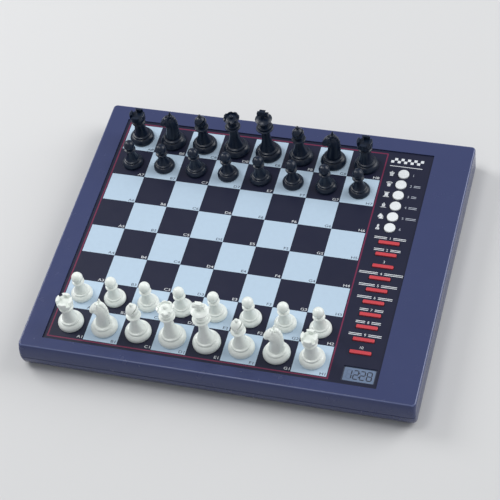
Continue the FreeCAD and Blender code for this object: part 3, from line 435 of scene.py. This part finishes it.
cell_sleeve = plastic(
    "cell_sleeve", STEEL, STEEL, (0.22, 0.34), drift=10 * MM, grain=1 * MM, depth=0.01 * MM
)
tree = cell_sleeve.node_tree
shader = tree.nodes["Principled BSDF"]
place = tree.nodes.new("ShaderNodeTexCoord")
parts = tree.nodes.new("ShaderNodeSeparateXYZ")
tree.links.new(place.outputs["Object"], parts.inputs["Vector"])
row = math_node(tree, "SUBTRACT", parts.outputs["Y"], CELL_LOW.y)
row = math_node(tree, "DIVIDE", row, CELL_ROW)
odd = math_node(tree, "MODULO", math_node(tree, "FLOOR", row, 0), 2)
way = math_node(tree, "SUBTRACT", 1, math_node(tree, "MULTIPLY", odd, 2))
along = math_node(tree, "SUBTRACT", parts.outputs["X"], (CELL_LOW.x + CELL_HIGH.x) / 2)
along = math_node(tree, "DIVIDE", math_node(tree, "MULTIPLY", along, way), CELL_REACH)
along = math_node(tree, "ADD", along, 0.5)
colour = ramp(tree, along, [
    (0, STEEL), (SLEEVE_START, SLEEVE_DARK), (BAND_START, SLEEVE_OCHRE), (SLEEVE_END, STEEL)
])
bare = ramp(tree, along, [(0, (1, 1, 1)), (SLEEVE_START, (0, 0, 0)), (SLEEVE_END, (1, 1, 1))])
tree.links.new(colour, shader.inputs["Base Color"])
tree.links.new(bare, shader.inputs["Metallic"])
print("cells finished")

# %% [markdown]
# ## Dress the frame
# Each node of the frame names a material slot. One table says which finish belongs to which slot.

# %% Give every node its finish
FINISHES = {
    "casing_blue": casing_blue,
    "overlay_print": sheet_dark,
    "sensor_film": foil,
    "display_glass": glass_edge,
    "circuit_green": circuit_lacquer,
    "mat_rubber": mat_rubber,
    "cell_metal": cell_sleeve,
    "contact_steel": plated_steel,
    "foot_rubber": rubber,
    "screw_steel": plated_steel,
    "key_white": key_white,
    "key_red": key_red,
    "chessman_white": ivory,
    "chessman_black": ebony,
}
for subpart in frame["record"]["subparts"]:
    node = nodes[subpart["node"]]
    node.data.materials.clear()
    node.data.materials.append(FINISHES[subpart["material_slot"]])

# %% [markdown]
# ## Working by hand in code
# Every operator acts on what is selected. These few helpers do what the hand does before and
# after each step: let go of everything, take hold of one piece, press its place into its mesh,
# join pieces, apply a modifier, and put the finished piece on the body that carries it.

# %% Define the handling helpers
def let_go():
    if bpy.context.object and bpy.context.object.mode != "OBJECT":
        bpy.ops.object.mode_set(mode="OBJECT")
    bpy.ops.object.select_all(action="DESELECT")


def take(piece):
    let_go()
    piece.select_set(True)
    bpy.context.view_layer.objects.active = piece


def press_place(piece):
    take(piece)
    bpy.ops.object.transform_apply(location=True, rotation=True, scale=True)


def join(pieces):
    let_go()
    for piece in pieces:
        piece.select_set(True)
    bpy.context.view_layer.objects.active = pieces[0]
    bpy.ops.object.join()
    return pieces[0]


def apply_modifier(piece, kind, **settings):
    take(piece)
    modifier = piece.modifiers.new(kind.lower(), kind)
    for name, value in settings.items():
        setattr(modifier, name, value)
    bpy.ops.object.modifier_apply(modifier=modifier.name)


def settle(piece, name, finish, body):
    press_place(piece)
    piece.name = name
    piece.data.name = name
    piece.data.materials.clear()
    piece.data.materials.append(finish)
    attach(piece, body)
    print(name, "has", len(piece.data.polygons), "faces")


print("helpers ready")

# %% [markdown]
# ## The battery springs
# A conical wire spring presses each cell against the plate at its other end. The frame only keeps
# the place of each spring with a plain cone. A copy of the contacts loses these cones, and
# springs take their place. A spring could be a curve with a round bevel. Here a small circle is
# carried round and along by a screw modifier, its open ends are filled, and a taper narrows it
# towards the cell.

# %% Clear the cones from a copy of the contacts
PLATE = 0.5 * MM
MERGE = 0.001 * MM
CONTACT_LOW, CONTACT_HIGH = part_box("battery_contacts")
LEFT_FACE = CONTACT_LOW.x + PLATE
RIGHT_FACE = CONTACT_HIGH.x - PLATE

contacts = nodes["battery_contacts"].copy()
contacts.data = contacts.data.copy()
bpy.context.scene.collection.objects.link(contacts)
press_place(contacts)
bpy.ops.object.mode_set(mode="EDIT")
bpy.ops.mesh.select_mode(type="VERT")
bpy.ops.mesh.select_all(action="SELECT")
bpy.ops.mesh.remove_doubles(threshold=MERGE)
bpy.ops.mesh.select_all(action="DESELECT")
bpy.ops.object.mode_set(mode="OBJECT")
for point in contacts.data.vertices:
    point.select = LEFT_FACE + PLATE < point.co.x < RIGHT_FACE - PLATE
bpy.ops.object.mode_set(mode="EDIT")
bpy.ops.mesh.select_linked()
bpy.ops.mesh.delete(type="VERT")
bpy.ops.object.mode_set(mode="OBJECT")
print("plates left with", len(contacts.data.polygons), "faces")

# %% Wind the springs
WIRE = 0.35 * MM
WIRE_POINTS = 8
SPRING_RADIUS = 3.6 * MM
SPRING_TAPER = -0.4
SPRING_TURNS = 4
TURN_STEPS = 24
WIRE_SMOOTH = math.radians(60)


def wind_spring(reach):
    """A spring that stands on the origin and reaches up."""
    let_go()
    bpy.ops.mesh.primitive_circle_add(
        vertices=WIRE_POINTS, radius=WIRE,
        location=(SPRING_RADIUS - WIRE, 0, WIRE), rotation=(math.pi / 2, 0, 0)
    )
    spring = bpy.context.object
    press_place(spring)
    apply_modifier(
        spring, "SCREW", axis="Z", angle=2 * math.pi,
        screw_offset=(reach - 2 * WIRE) / SPRING_TURNS,
        iterations=SPRING_TURNS, steps=TURN_STEPS, render_steps=TURN_STEPS
    )
    bpy.ops.object.mode_set(mode="EDIT")
    bpy.ops.mesh.select_all(action="SELECT")
    bpy.ops.mesh.fill_holes(sides=WIRE_POINTS)
    bpy.ops.mesh.select_all(action="SELECT")
    bpy.ops.mesh.normals_make_consistent(inside=False)
    bpy.ops.object.mode_set(mode="OBJECT")
    apply_modifier(
        spring, "SIMPLE_DEFORM", deform_method="TAPER", deform_axis="Z", factor=SPRING_TAPER
    )
    bpy.ops.object.shade_smooth_by_angle(angle=WIRE_SMOOTH)
    return spring


cell_points = [point.co for point in nodes["battery_cells"].data.vertices]
cell_z = (CELL_LOW.z + CELL_HIGH.z) / 2
springs = []
for row in range(CELL_COUNT):
    y = CELL_LOW.y + (row + 0.5) * CELL_ROW
    ends = [point.x for point in cell_points if abs(point.y - y) < CELL_ROW / 2]
    at_left = min(ends) - LEFT_FACE
    at_right = RIGHT_FACE - max(ends)
    spring = wind_spring(max(at_left, at_right))
    spring.rotation_euler.y = math.pi / 2 if at_left > at_right else -math.pi / 2
    spring.location = (LEFT_FACE if at_left > at_right else RIGHT_FACE, y, cell_z)
    press_place(spring)
    springs.append(spring)
contact_set = join([contacts] + springs)
settle(contact_set, "contact_set", plated_steel, "casing")
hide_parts("battery_contacts")

# %% [markdown]
# ## Printing ink
# The board and all its marks are screen printed on the sheet. An image could carry them, but real
# outlines stay sharp at any distance, so each printed shape is a flat mesh raised by the
# thickness of a film of ink. The ink is a thin matt paint with a little mottle.

# %% Mix the inks
INK = 0.02 * MM
INK_ROUGHNESS = (0.4, 0.48)
MOTTLE = 0.93


def raise_ink(piece):
    """Turns a flat shape into a closed film of ink."""
    take(piece)
    bpy.ops.object.mode_set(mode="EDIT")
    bpy.ops.mesh.select_all(action="SELECT")
    bpy.ops.mesh.extrude_region_move(TRANSFORM_OT_translate={"value": (0, 0, INK)})
    bpy.ops.mesh.select_all(action="SELECT")
    bpy.ops.mesh.normals_make_consistent(inside=False)
    bpy.ops.object.mode_set(mode="OBJECT")


def ink(name, colour):
    """A thin matt paint."""
    shade = [MOTTLE * part for part in colour]
    return plastic(
        name, colour, shade, INK_ROUGHNESS,
        drift=3 * MM, grain=0.3 * MM, depth=0.004 * MM, gloss=0.4
    )


ink_pale = ink("ink_pale", (0.47, 0.6, 0.73))
ink_red = ink("ink_red", (0.17, 0.016, 0.06))
ink_white = ink("ink_white", (0.72, 0.75, 0.78))
ink_grey = ink("ink_grey", (0.42, 0.45, 0.52))
ink_dark = ink("ink_dark", (0.014, 0.016, 0.044))
print("inks mixed")

# %% [markdown]
# ## The squares
# Only the light squares are printed, because the sheet itself is dark. A grid of eight by eight
# faces is laid over the board. Every second face is drawn in by a hair, so that squares do not
# join at their corners, the other faces are deleted, and what is left is raised.

# %% Print the light squares
SQUARE_GAP = 0.06 * MM

let_go()
bpy.ops.mesh.primitive_grid_add(
    x_subdivisions=SQUARES, y_subdivisions=SQUARES, size=BOARD_SIDE,
    location=(*BOARD_MIDDLE.xy, SHEET_TOP)
)
light_squares = bpy.context.object
press_place(light_squares)
bpy.ops.object.mode_set(mode="EDIT")
bpy.ops.mesh.select_mode(type="FACE")
bpy.ops.mesh.select_all(action="DESELECT")
bpy.ops.object.mode_set(mode="OBJECT")
for face in light_squares.data.polygons:
    column = int((face.center.x - BOARD_LEFT) / SQUARE)
    row = int((face.center.y - BOARD_NEAR) / SQUARE)
    face.select = (column + row) % 2 == 1
bpy.ops.object.mode_set(mode="EDIT")
bpy.ops.mesh.inset(use_individual=True, thickness=SQUARE_GAP)
bpy.ops.mesh.select_all(action="INVERT")
bpy.ops.mesh.delete(type="FACE")
raise_ink(light_squares)
settle(light_squares, "light_squares", ink_pale, "casing")

# %% [markdown]
# ## The line round the board
# A thin dull red line runs round the squares. One face of its outer size is inset by the width of
# the line, the face that is left in the middle is deleted, and the ring is raised like the rest.

# %% Print the border line
LINE_GAP = 0.5 * MM
LINE_WIDTH = 0.9 * MM

let_go()
bpy.ops.mesh.primitive_plane_add(
    size=BOARD_SIDE + 2 * (LINE_GAP + LINE_WIDTH), location=(*BOARD_MIDDLE.xy, SHEET_TOP)
)
border_line = bpy.context.object
press_place(border_line)
bpy.ops.object.mode_set(mode="EDIT")
bpy.ops.mesh.select_all(action="SELECT")
bpy.ops.mesh.inset(thickness=LINE_WIDTH)
bpy.ops.mesh.delete(type="FACE")
raise_ink(border_line)
settle(border_line, "border_line", ink_red, "casing")

# %% [markdown]
# ## The coordinates
# Each square carries its name in its near right corner, white on the dark squares and dark on the
# light ones. Text is set flat, made a mesh, measured, and then brought to its height and place.
# On a light square it lies on the ink of the square.

# %% Print the coordinates
LABEL_HEIGHT = 2.1 * MM
LABEL_STRETCH = 1.3
LABEL_ASIDE = 2.9 * MM
LABEL_AHEAD = 1.9 * MM
TEXT_STEPS = 3


def add_text(words, height, x, y, base, stretch=1.0):
    """Flat text whose middle is at x, y, at the height base, wider than usual by stretch."""
    let_go()
    bpy.ops.object.text_add()
    text = bpy.context.object
    text.data.body = words
    text.data.resolution_u = TEXT_STEPS
    bpy.ops.object.convert(target="MESH")
    shape = bpy.context.object
    points = [point.co for point in shape.data.vertices]
    left = min(point.x for point in points)
    right = max(point.x for point in points)
    low = min(point.y for point in points)
    high = max(point.y for point in points)
    size = height / (high - low)
    shape.scale = (size * stretch, size, 1)
    shape.location = (
        x - size * stretch * (left + right) / 2,
        y - size * (low + high) / 2,
        base,
    )
    press_place(shape)
    return shape


pale_labels = []
dark_labels = []
for row in range(SQUARES):
    for column in range(SQUARES):
        words = "ABCDEFGH"[column] + str(row + 1)
        x = BOARD_LEFT + (column + 1) * SQUARE - LABEL_ASIDE
        y = BOARD_NEAR + row * SQUARE + LABEL_AHEAD
        on_light = (column + row) % 2 == 1
        base = SHEET_TOP + INK if on_light else SHEET_TOP
        label = add_text(words, LABEL_HEIGHT, x, y, base, LABEL_STRETCH)
        (dark_labels if on_light else pale_labels).append(label)
labels_on_dark = join(pale_labels)
raise_ink(labels_on_dark)
settle(labels_on_dark, "labels_on_dark", ink_white, "casing")
labels_on_light = join(dark_labels)
raise_ink(labels_on_light)
settle(labels_on_light, "labels_on_light", ink_dark, "casing")

# %% [markdown]
# ## The figures beside the round keys
# A small white chess figure stands to the left of each round key and says which man the key is
# for. The font that comes with Blender holds chess figures, so these are text too. To the right
# of each key stand a plain number and, beside some keys, a pair of short rules.

# %% Print the key symbols
KEY_NAMES = ["key_king", "key_queen", "key_rook", "key_bishop", "key_knight", "key_pawn"]
KEY_FIGURES = ["♚", "♛", "♜", "♝", "♞", "♟"]
FIGURE_HEIGHT = 4.6 * MM
FIGURE_X = BOARD_LEFT + 8.3 * SQUARE

figures = []
for name, figure in zip(KEY_NAMES, KEY_FIGURES):
    figures.append(add_text(figure, FIGURE_HEIGHT, FIGURE_X, middle(name).y, SHEET_TOP))
key_symbols = join(figures)
raise_ink(key_symbols)
settle(key_symbols, "key_symbols", ink_white, "casing")

# %% Print the key marks
NUMBER_HEIGHT = 2.1 * MM
NUMBER_ROOM = 1.5 * NUMBER_HEIGHT
RULE_WIDTH = 0.5 * MM
RULE_APART = 1.2 * MM
KEY_MARK_LEFT = BOARD_LEFT + 8.9 * SQUARE
KEY_MARK_WIDTHS = [4.8, 7.8, 6.6, 9.0, 10.2, 4.0]


def add_bar(left, right, y, width):
    """A flat straight stripe along X."""
    let_go()
    bpy.ops.mesh.primitive_plane_add(size=1, location=((left + right) / 2, y, SHEET_TOP))
    stripe = bpy.context.object
    stripe.scale = (right - left, width, 1)
    press_place(stripe)
    return stripe


def add_rules(left, right, y):
    """Two thin rules, one above the other."""
    return [add_bar(left, right, y + side * RULE_APART / 2, RULE_WIDTH) for side in (-1, 1)]


marks = []
for count, (name, width) in enumerate(zip(KEY_NAMES, KEY_MARK_WIDTHS), start=1):
    y = middle(name).y
    number_x = KEY_MARK_LEFT + 0.5 * NUMBER_HEIGHT
    rules_x = KEY_MARK_LEFT + NUMBER_ROOM
    marks.append(add_text(str(count), NUMBER_HEIGHT, number_x, y, SHEET_TOP))
    if width * MM > 2 * NUMBER_ROOM:
        marks.extend(add_rules(rules_x, KEY_MARK_LEFT + width * MM, y))
key_marks = join(marks)
raise_ink(key_marks)
settle(key_marks, "key_marks", ink_grey, "casing")

# %% [markdown]
# ## The marks above the red keys
# Above each red key stands a plain white number between two pairs of rules. The rules differ in
# length from key to key, and two of the keys have the number alone.

# %% Print the bar marks
BAR_MARK_WIDTHS = [22, 18.5, 5, 30, 26, 24, 16, 17, 22, 5]
BAR_MARK_AHEAD = 0.17 * SQUARE
NUMBER_SPACE = 2.2 * MM

marks = []
for count, width in enumerate(BAR_MARK_WIDTHS, start=1):
    spot = middle(f"function_key_{count}")
    y = spot.y + BAR_MARK_AHEAD
    reach = width * MM / 2
    marks.append(add_text(str(count), NUMBER_HEIGHT, spot.x, y, SHEET_TOP))
    if reach > 2 * NUMBER_SPACE:
        marks.extend(add_rules(spot.x - reach, spot.x - NUMBER_SPACE, y))
        marks.extend(add_rules(spot.x + NUMBER_SPACE, spot.x + reach, y))
bar_marks = join(marks)
raise_ink(bar_marks)
settle(bar_marks, "bar_marks", ink_white, "casing")

# %% [markdown]
# ## The heading of the strip
# At the far end of the strip stands a small chequered band over a thin rule, a plain heading that
# fits a board game. The band is a row of small squares, of which every second one lies a step
# further back, so stripes as long as they are wide do for it.

# %% Print the heading
HEADING_LEFT = BOARD_LEFT + 8.18 * SQUARE
HEADING_RIGHT = BOARD_LEFT + 9.15 * SQUARE
HEADING_COLUMNS = 10
HEADING_CELL = (HEADING_RIGHT - HEADING_LEFT) / HEADING_COLUMNS
HEADING_Y = BOARD_NEAR + 7.78 * SQUARE
HEADING_RULE_Y = BOARD_NEAR + 7.61 * SQUARE

cells = []
for column in range(HEADING_COLUMNS):
    left = HEADING_LEFT + column * HEADING_CELL + SQUARE_GAP
    right = left + HEADING_CELL - 2 * SQUARE_GAP
    y = HEADING_Y + (column % 2) * HEADING_CELL
    cells.append(add_bar(left, right, y, HEADING_CELL - 2 * SQUARE_GAP))
cells.append(add_bar(HEADING_LEFT, HEADING_RIGHT, HEADING_RULE_Y, RULE_WIDTH))
heading = join(cells)
raise_ink(heading)
settle(heading, "heading", ink_white, "casing")

# %% [markdown]
# ## The display
# A liquid crystal display is a thin glass cell. Its viewing area is a grey-blue film, and its
# figures are dark strokes that show when they are switched on. Strokes that are off still show
# faintly. The film is one face with rounded corners. A stroke is one face with its corners cut
# off, laid once for each place in each figure, because upright and level strokes differ in
# length.

# %% Lay the display film
FILM_WIDTH = 20.6 * MM
FILM_DEPTH = 10.2 * MM
FILM_CORNER = 0.8 * MM
CORNER_STEPS = 6
CELL_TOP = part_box("display_cell")[1].z
DISPLAY_MIDDLE = middle("display_cell")


def display_layer(name, colour, shade):
    """One layer of the glass cell, under its polished face."""
    return plastic(
        name, colour, shade, (0.3, 0.36), drift=5 * MM, grain=0.2 * MM, depth=0.002 * MM, coat=0.6
    )


lcd_film = display_layer("lcd_film", (0.15, 0.21, 0.33), (0.135, 0.19, 0.3))
lcd_stroke = display_layer("lcd_stroke", (0.014, 0.017, 0.03), (0.012, 0.015, 0.026))
lcd_faint = display_layer("lcd_faint", (0.125, 0.175, 0.28), (0.115, 0.16, 0.255))


def cut_corners(piece, offset, segments):
    take(piece)
    bpy.ops.object.mode_set(mode="EDIT")
    bpy.ops.mesh.select_all(action="SELECT")
    bpy.ops.mesh.bevel(affect="VERTICES", offset=offset, segments=segments)
    bpy.ops.object.mode_set(mode="OBJECT")


let_go()
bpy.ops.mesh.primitive_plane_add(size=1, location=(*DISPLAY_MIDDLE.xy, CELL_TOP))
display_film = bpy.context.object
display_film.scale = (FILM_WIDTH, FILM_DEPTH, 1)
press_place(display_film)
cut_corners(display_film, FILM_CORNER, CORNER_STEPS)
raise_ink(display_film)
settle(display_film, "display_film", lcd_film, "casing")

# %% Draw the display's figures
FIGURE_WIDE = 3.1 * MM
FIGURE_TALL = 6.6 * MM
FIGURE_STEP = 4.5 * MM
STROKE = 0.75 * MM
STROKE_GAP = 0.12 * MM
STROKE_CUT = 0.45 * STROKE
STROKES_ON = {"1": "bc", "2": "abged", "8": "abcdefg"}
SHOWN = "1228"
COLON_DOT = 1.0 * MM
COLON_APART = 3.0 * MM


def add_stroke(x, y, upright, length):
    let_go()
    bpy.ops.mesh.primitive_plane_add(size=1, location=(x, y, CELL_TOP + INK))
    stroke = bpy.context.object
    stroke.scale = (STROKE, length, 1) if upright else (length, STROKE, 1)
    press_place(stroke)
    cut_corners(stroke, STROKE_CUT, 1)
    return stroke


def figure_strokes(x, y):
    """The seven strokes of one figure by their usual letters."""
    wide = FIGURE_WIDE - 2 * STROKE_GAP
    tall = FIGURE_TALL / 2 - 2 * STROKE_GAP
    side = FIGURE_WIDE / 2
    half = FIGURE_TALL / 2
    return {
        "a": add_stroke(x, y + half, False, wide),
        "b": add_stroke(x + side, y + half / 2, True, tall),
        "c": add_stroke(x + side, y - half / 2, True, tall),
        "d": add_stroke(x, y - half, False, wide),
        "e": add_stroke(x - side, y - half / 2, True, tall),
        "f": add_stroke(x - side, y + half / 2, True, tall),
        "g": add_stroke(x, y, False, wide),
    }


dark_strokes = []
faint_strokes = []
for place, figure in enumerate(SHOWN):
    x = DISPLAY_MIDDLE.x + (place - (len(SHOWN) - 1) / 2) * FIGURE_STEP
    for letter, stroke in figure_strokes(x, DISPLAY_MIDDLE.y).items():
        group = dark_strokes if letter in STROKES_ON[figure] else faint_strokes
        group.append(stroke)
for side in (-1, 1):
    y = DISPLAY_MIDDLE.y + side * COLON_APART / 2
    dark_strokes.append(add_stroke(DISPLAY_MIDDLE.x, y, True, COLON_DOT))
display_figures = join(dark_strokes)
raise_ink(display_figures)
settle(display_figures, "display_figures", lcd_stroke, "casing")
display_faint = join(faint_strokes)
raise_ink(display_faint)
settle(display_faint, "display_faint", lcd_faint, "casing")

# %% [markdown]
# ## The knight's foot
# The four knights are carved men on a turned foot. A turned foot is half an outline that is spun
# round its axis. The outline is drawn as a wood turner reads it: flat sole, rim, a hollow rise
# and a small collar.

# %% Turn the foot
KNIGHT_BASE = (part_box("white_knight_b")[1].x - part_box("white_knight_b")[0].x) / 2
SPIN_STEPS = 64


def start_outline(x, z):
    """One vertex in edit mode, from which an outline is drawn."""
    let_go()
    bpy.ops.mesh.primitive_plane_add(size=MM, location=(x, 0, z))
    outline = bpy.context.object
    press_place(outline)
    bpy.ops.object.mode_set(mode="EDIT")
    bpy.ops.mesh.select_mode(type="VERT")
    bpy.ops.mesh.select_all(action="SELECT")
    bpy.ops.mesh.merge(type="CENTER")
    return outline


def line_to(here, there):
    step = (there[0] - here[0], 0, there[1] - here[1])
    bpy.ops.mesh.extrude_region_move(TRANSFORM_OT_translate={"value": step})
    return there


FOOT_OUTLINE = [
    (0.96, 0), (1, 0.05), (1, 0.2), (0.95, 0.3), (0.88, 0.42), (0.8, 0.5), (0.72, 0.53),
    (0.76, 0.56), (0.78, 0.605), (0.76, 0.65), (0.72, 0.68), (0.62, 0.72), (0, 0.72),
]
foot = start_outline(0, 0)
here = (0, 0)
for reach, height in FOOT_OUTLINE:
    here = line_to(here, (reach * KNIGHT_BASE, height * KNIGHT_BASE))
bpy.ops.mesh.select_all(action="SELECT")
bpy.ops.mesh.spin(steps=SPIN_STEPS, angle=2 * math.pi, center=(0, 0, 0), axis=(0, 0, 1))
bpy.ops.mesh.select_all(action="SELECT")
bpy.ops.mesh.remove_doubles(threshold=MERGE)
bpy.ops.mesh.normals_make_consistent(inside=False)
bpy.ops.object.mode_set(mode="OBJECT")
print("foot has", len(foot.data.polygons), "faces")

# %% [markdown]
# ## The horse's head
# The head starts as rough lumps, the way clay is built up: a neck and a muzzle lofted through
# ellipses, balls for the cheeks, the eyes, the nostrils, the forelock and the locks of the mane,
# and two cones for the ears. A voxel remesh melts them into one skin, and a smooth modifier
# rounds it as a worn mould would.

# %% Build the neck and the muzzle
RING_POINTS = 24


def add_ring(x, z, reach, thick, lean):
    """An ellipse in the middle plane of the horse, all in millimetres."""
    let_go()
    bpy.ops.mesh.primitive_circle_add(
        vertices=RING_POINTS, radius=1,
        location=(x * MM, 0, z * MM), rotation=(0, math.radians(lean), 0)
    )
    ring = bpy.context.object
    ring.scale = (reach * MM, thick * MM, 1)
    press_place(ring)
    return ring


def select_rings(piece, wanted):
    """Selects the edges of whole rings by their number."""
    bpy.ops.object.mode_set(mode="OBJECT")
    for edge in piece.data.edges:
        first, second = [corner // RING_POINTS for corner in edge.vertices]
        edge.select = first == second and first in wanted
    bpy.ops.object.mode_set(mode="EDIT")


def loft(sections, lean):
    skin = join([add_ring(*section, lean) for section in sections])
    last = len(sections) - 1
    bpy.ops.object.mode_set(mode="EDIT")
    bpy.ops.mesh.select_mode(type="EDGE")
    for ring in range(last):
        bpy.ops.mesh.select_all(action="DESELECT")
        select_rings(skin, (ring, ring + 1))
        bpy.ops.mesh.bridge_edge_loops()
    for ring in (0, last):
        bpy.ops.mesh.select_all(action="DESELECT")
        select_rings(skin, (ring,))
        bpy.ops.mesh.edge_face_add()
    bpy.ops.mesh.select_all(action="SELECT")
    bpy.ops.mesh.normals_make_consistent(inside=False)
    bpy.ops.object.mode_set(mode="OBJECT")
    return skin


NECK_SECTIONS = [
    (0.1, 5.2, 5.5, 5.1), (0.4, 8.5, 5.0, 4.8), (1.0, 12, 4.6, 4.5), (1.4, 15.5, 4.45, 4.3),
    (1.5, 18.5, 4.4, 4.2), (1.2, 21.5, 4.4, 4.1), (0.9, 24.2, 4.0, 3.8), (0.6, 26.6, 2.9, 2.9),
]
MUZZLE_SECTIONS = [
    (1.2, 24.0, 3.2, 3.6), (-0.8, 22.9, 3.9, 3.8), (-2.6, 21.4, 3.6, 3.5), (-4.2, 20.0, 2.9, 3.0),
    (-5.3, 18.9, 2.4, 2.6), (-6.1, 18.1, 1.75, 2.0),
]
MUZZLE_LEAN = 53
lumps = [loft(NECK_SECTIONS, 0), loft(MUZZLE_SECTIONS, MUZZLE_LEAN)]
print("neck and muzzle lofted")

# %% Add the mane and the face
BALL_SEGMENTS = 16
BALL_RINGS = 10
LOCK_RADII = (1.35, 1.7, 1.75)
MANE_LOCKS = [
    (2.7, 27.0, -42), (4.0, 25.1, -30), (4.8, 22.5, -14), (5.0, 19.7, -3),
    (5.0, 16.8, 2), (4.9, 13.9, 3), (4.85, 11.0, 3), (4.95, 8.3, 4),
]
FORELOCK = (-1.0, 0, 26.7, (1.6, 1.3, 1.0), 40)
CHEEK = (-0.5, 2.9, 20.8, (2.6, 1.5, 2.6), 0)
EYE = (-2.7, 3.15, 23.2, (0.75, 0.5, 0.6), MUZZLE_LEAN)
NOSTRIL = (-5.8, 1.8, 19.2, (0.65, 0.5, 0.55), MUZZLE_LEAN)


def add_ball(x, y, z, radii, lean):
    """A ball with three radii, in millimetres, leaning by some degrees."""
    let_go()
    bpy.ops.mesh.primitive_uv_sphere_add(
        segments=BALL_SEGMENTS, ring_count=BALL_RINGS, radius=MM,
        location=(x * MM, y * MM, z * MM), rotation=(0, math.radians(lean), 0)
    )
    ball = bpy.context.object
    ball.scale = radii
    press_place(ball)
    lumps.append(ball)


for x, z, lean in MANE_LOCKS:
    add_ball(x, 0, z, LOCK_RADII, lean)
add_ball(*FORELOCK)
for side in (-1, 1):
    for x, y, z, radii, lean in (CHEEK, EYE, NOSTRIL):
        add_ball(x, side * y, z, radii, lean)
print(len(lumps), "lumps in the head")

# %% Add the ears
EAR_FOOT = 1.6 * MM
EAR_TIP = 0.5 * MM
EAR_TALL = 3.2 * MM
EAR_X = 0.5 * MM
EAR_ASIDE = 2.1 * MM
EAR_Z = 27.9 * MM
EAR_SPREAD = math.radians(9)
EAR_TILT = math.radians(6)
EAR_POINTS = 16
EAR_FLAT = 0.8

for side in (-1, 1):
    let_go()
    bpy.ops.mesh.primitive_cone_add(
        vertices=EAR_POINTS, radius1=EAR_FOOT, radius2=EAR_TIP, depth=EAR_TALL,
        location=(EAR_X, side * EAR_ASIDE, EAR_Z), rotation=(-side * EAR_SPREAD, EAR_TILT, 0)
    )
    ear = bpy.context.object
    ear.scale = (EAR_FLAT, 1, 1)
    press_place(ear)
    lumps.append(ear)
print("ears on,", len(lumps), "lumps")

# %% Melt the head and set it on the foot
VOXEL = 0.2 * MM
ROUNDING = 0.5
ROUNDING_TURNS = 6
FACES_KEPT = 0.35
KNIGHT_SMOOTH = math.radians(40)

knight = join(lumps)
apply_modifier(knight, "REMESH", mode="VOXEL", voxel_size=VOXEL)
apply_modifier(knight, "SMOOTH", factor=ROUNDING, iterations=ROUNDING_TURNS)
apply_modifier(knight, "DECIMATE", ratio=FACES_KEPT)
apply_modifier(knight, "BOOLEAN", operation="UNION", object=foot, solver="EXACT")
bpy.data.objects.remove(foot)
take(knight)
bpy.ops.object.shade_smooth_by_angle(angle=KNIGHT_SMOOTH)
print("knight has", len(knight.data.polygons), "faces")

# %% Set out the four knights
KNIGHTS = {
    "white_knight_b": ivory,
    "white_knight_g": ivory,
    "black_knight_b": ebony,
    "black_knight_g": ebony,
}
for node, finish in KNIGHTS.items():
    carved = knight.copy()
    carved.data = knight.data.copy()
    bpy.context.scene.collection.objects.link(carved)
    carved.location = (*middle(node).xy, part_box(node)[0].z)
    colour = node.split("_")[0]
    settle(carved, f"carved_{node}", finish, node)
    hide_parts(node)
bpy.data.objects.remove(knight)
print("four knights set out")
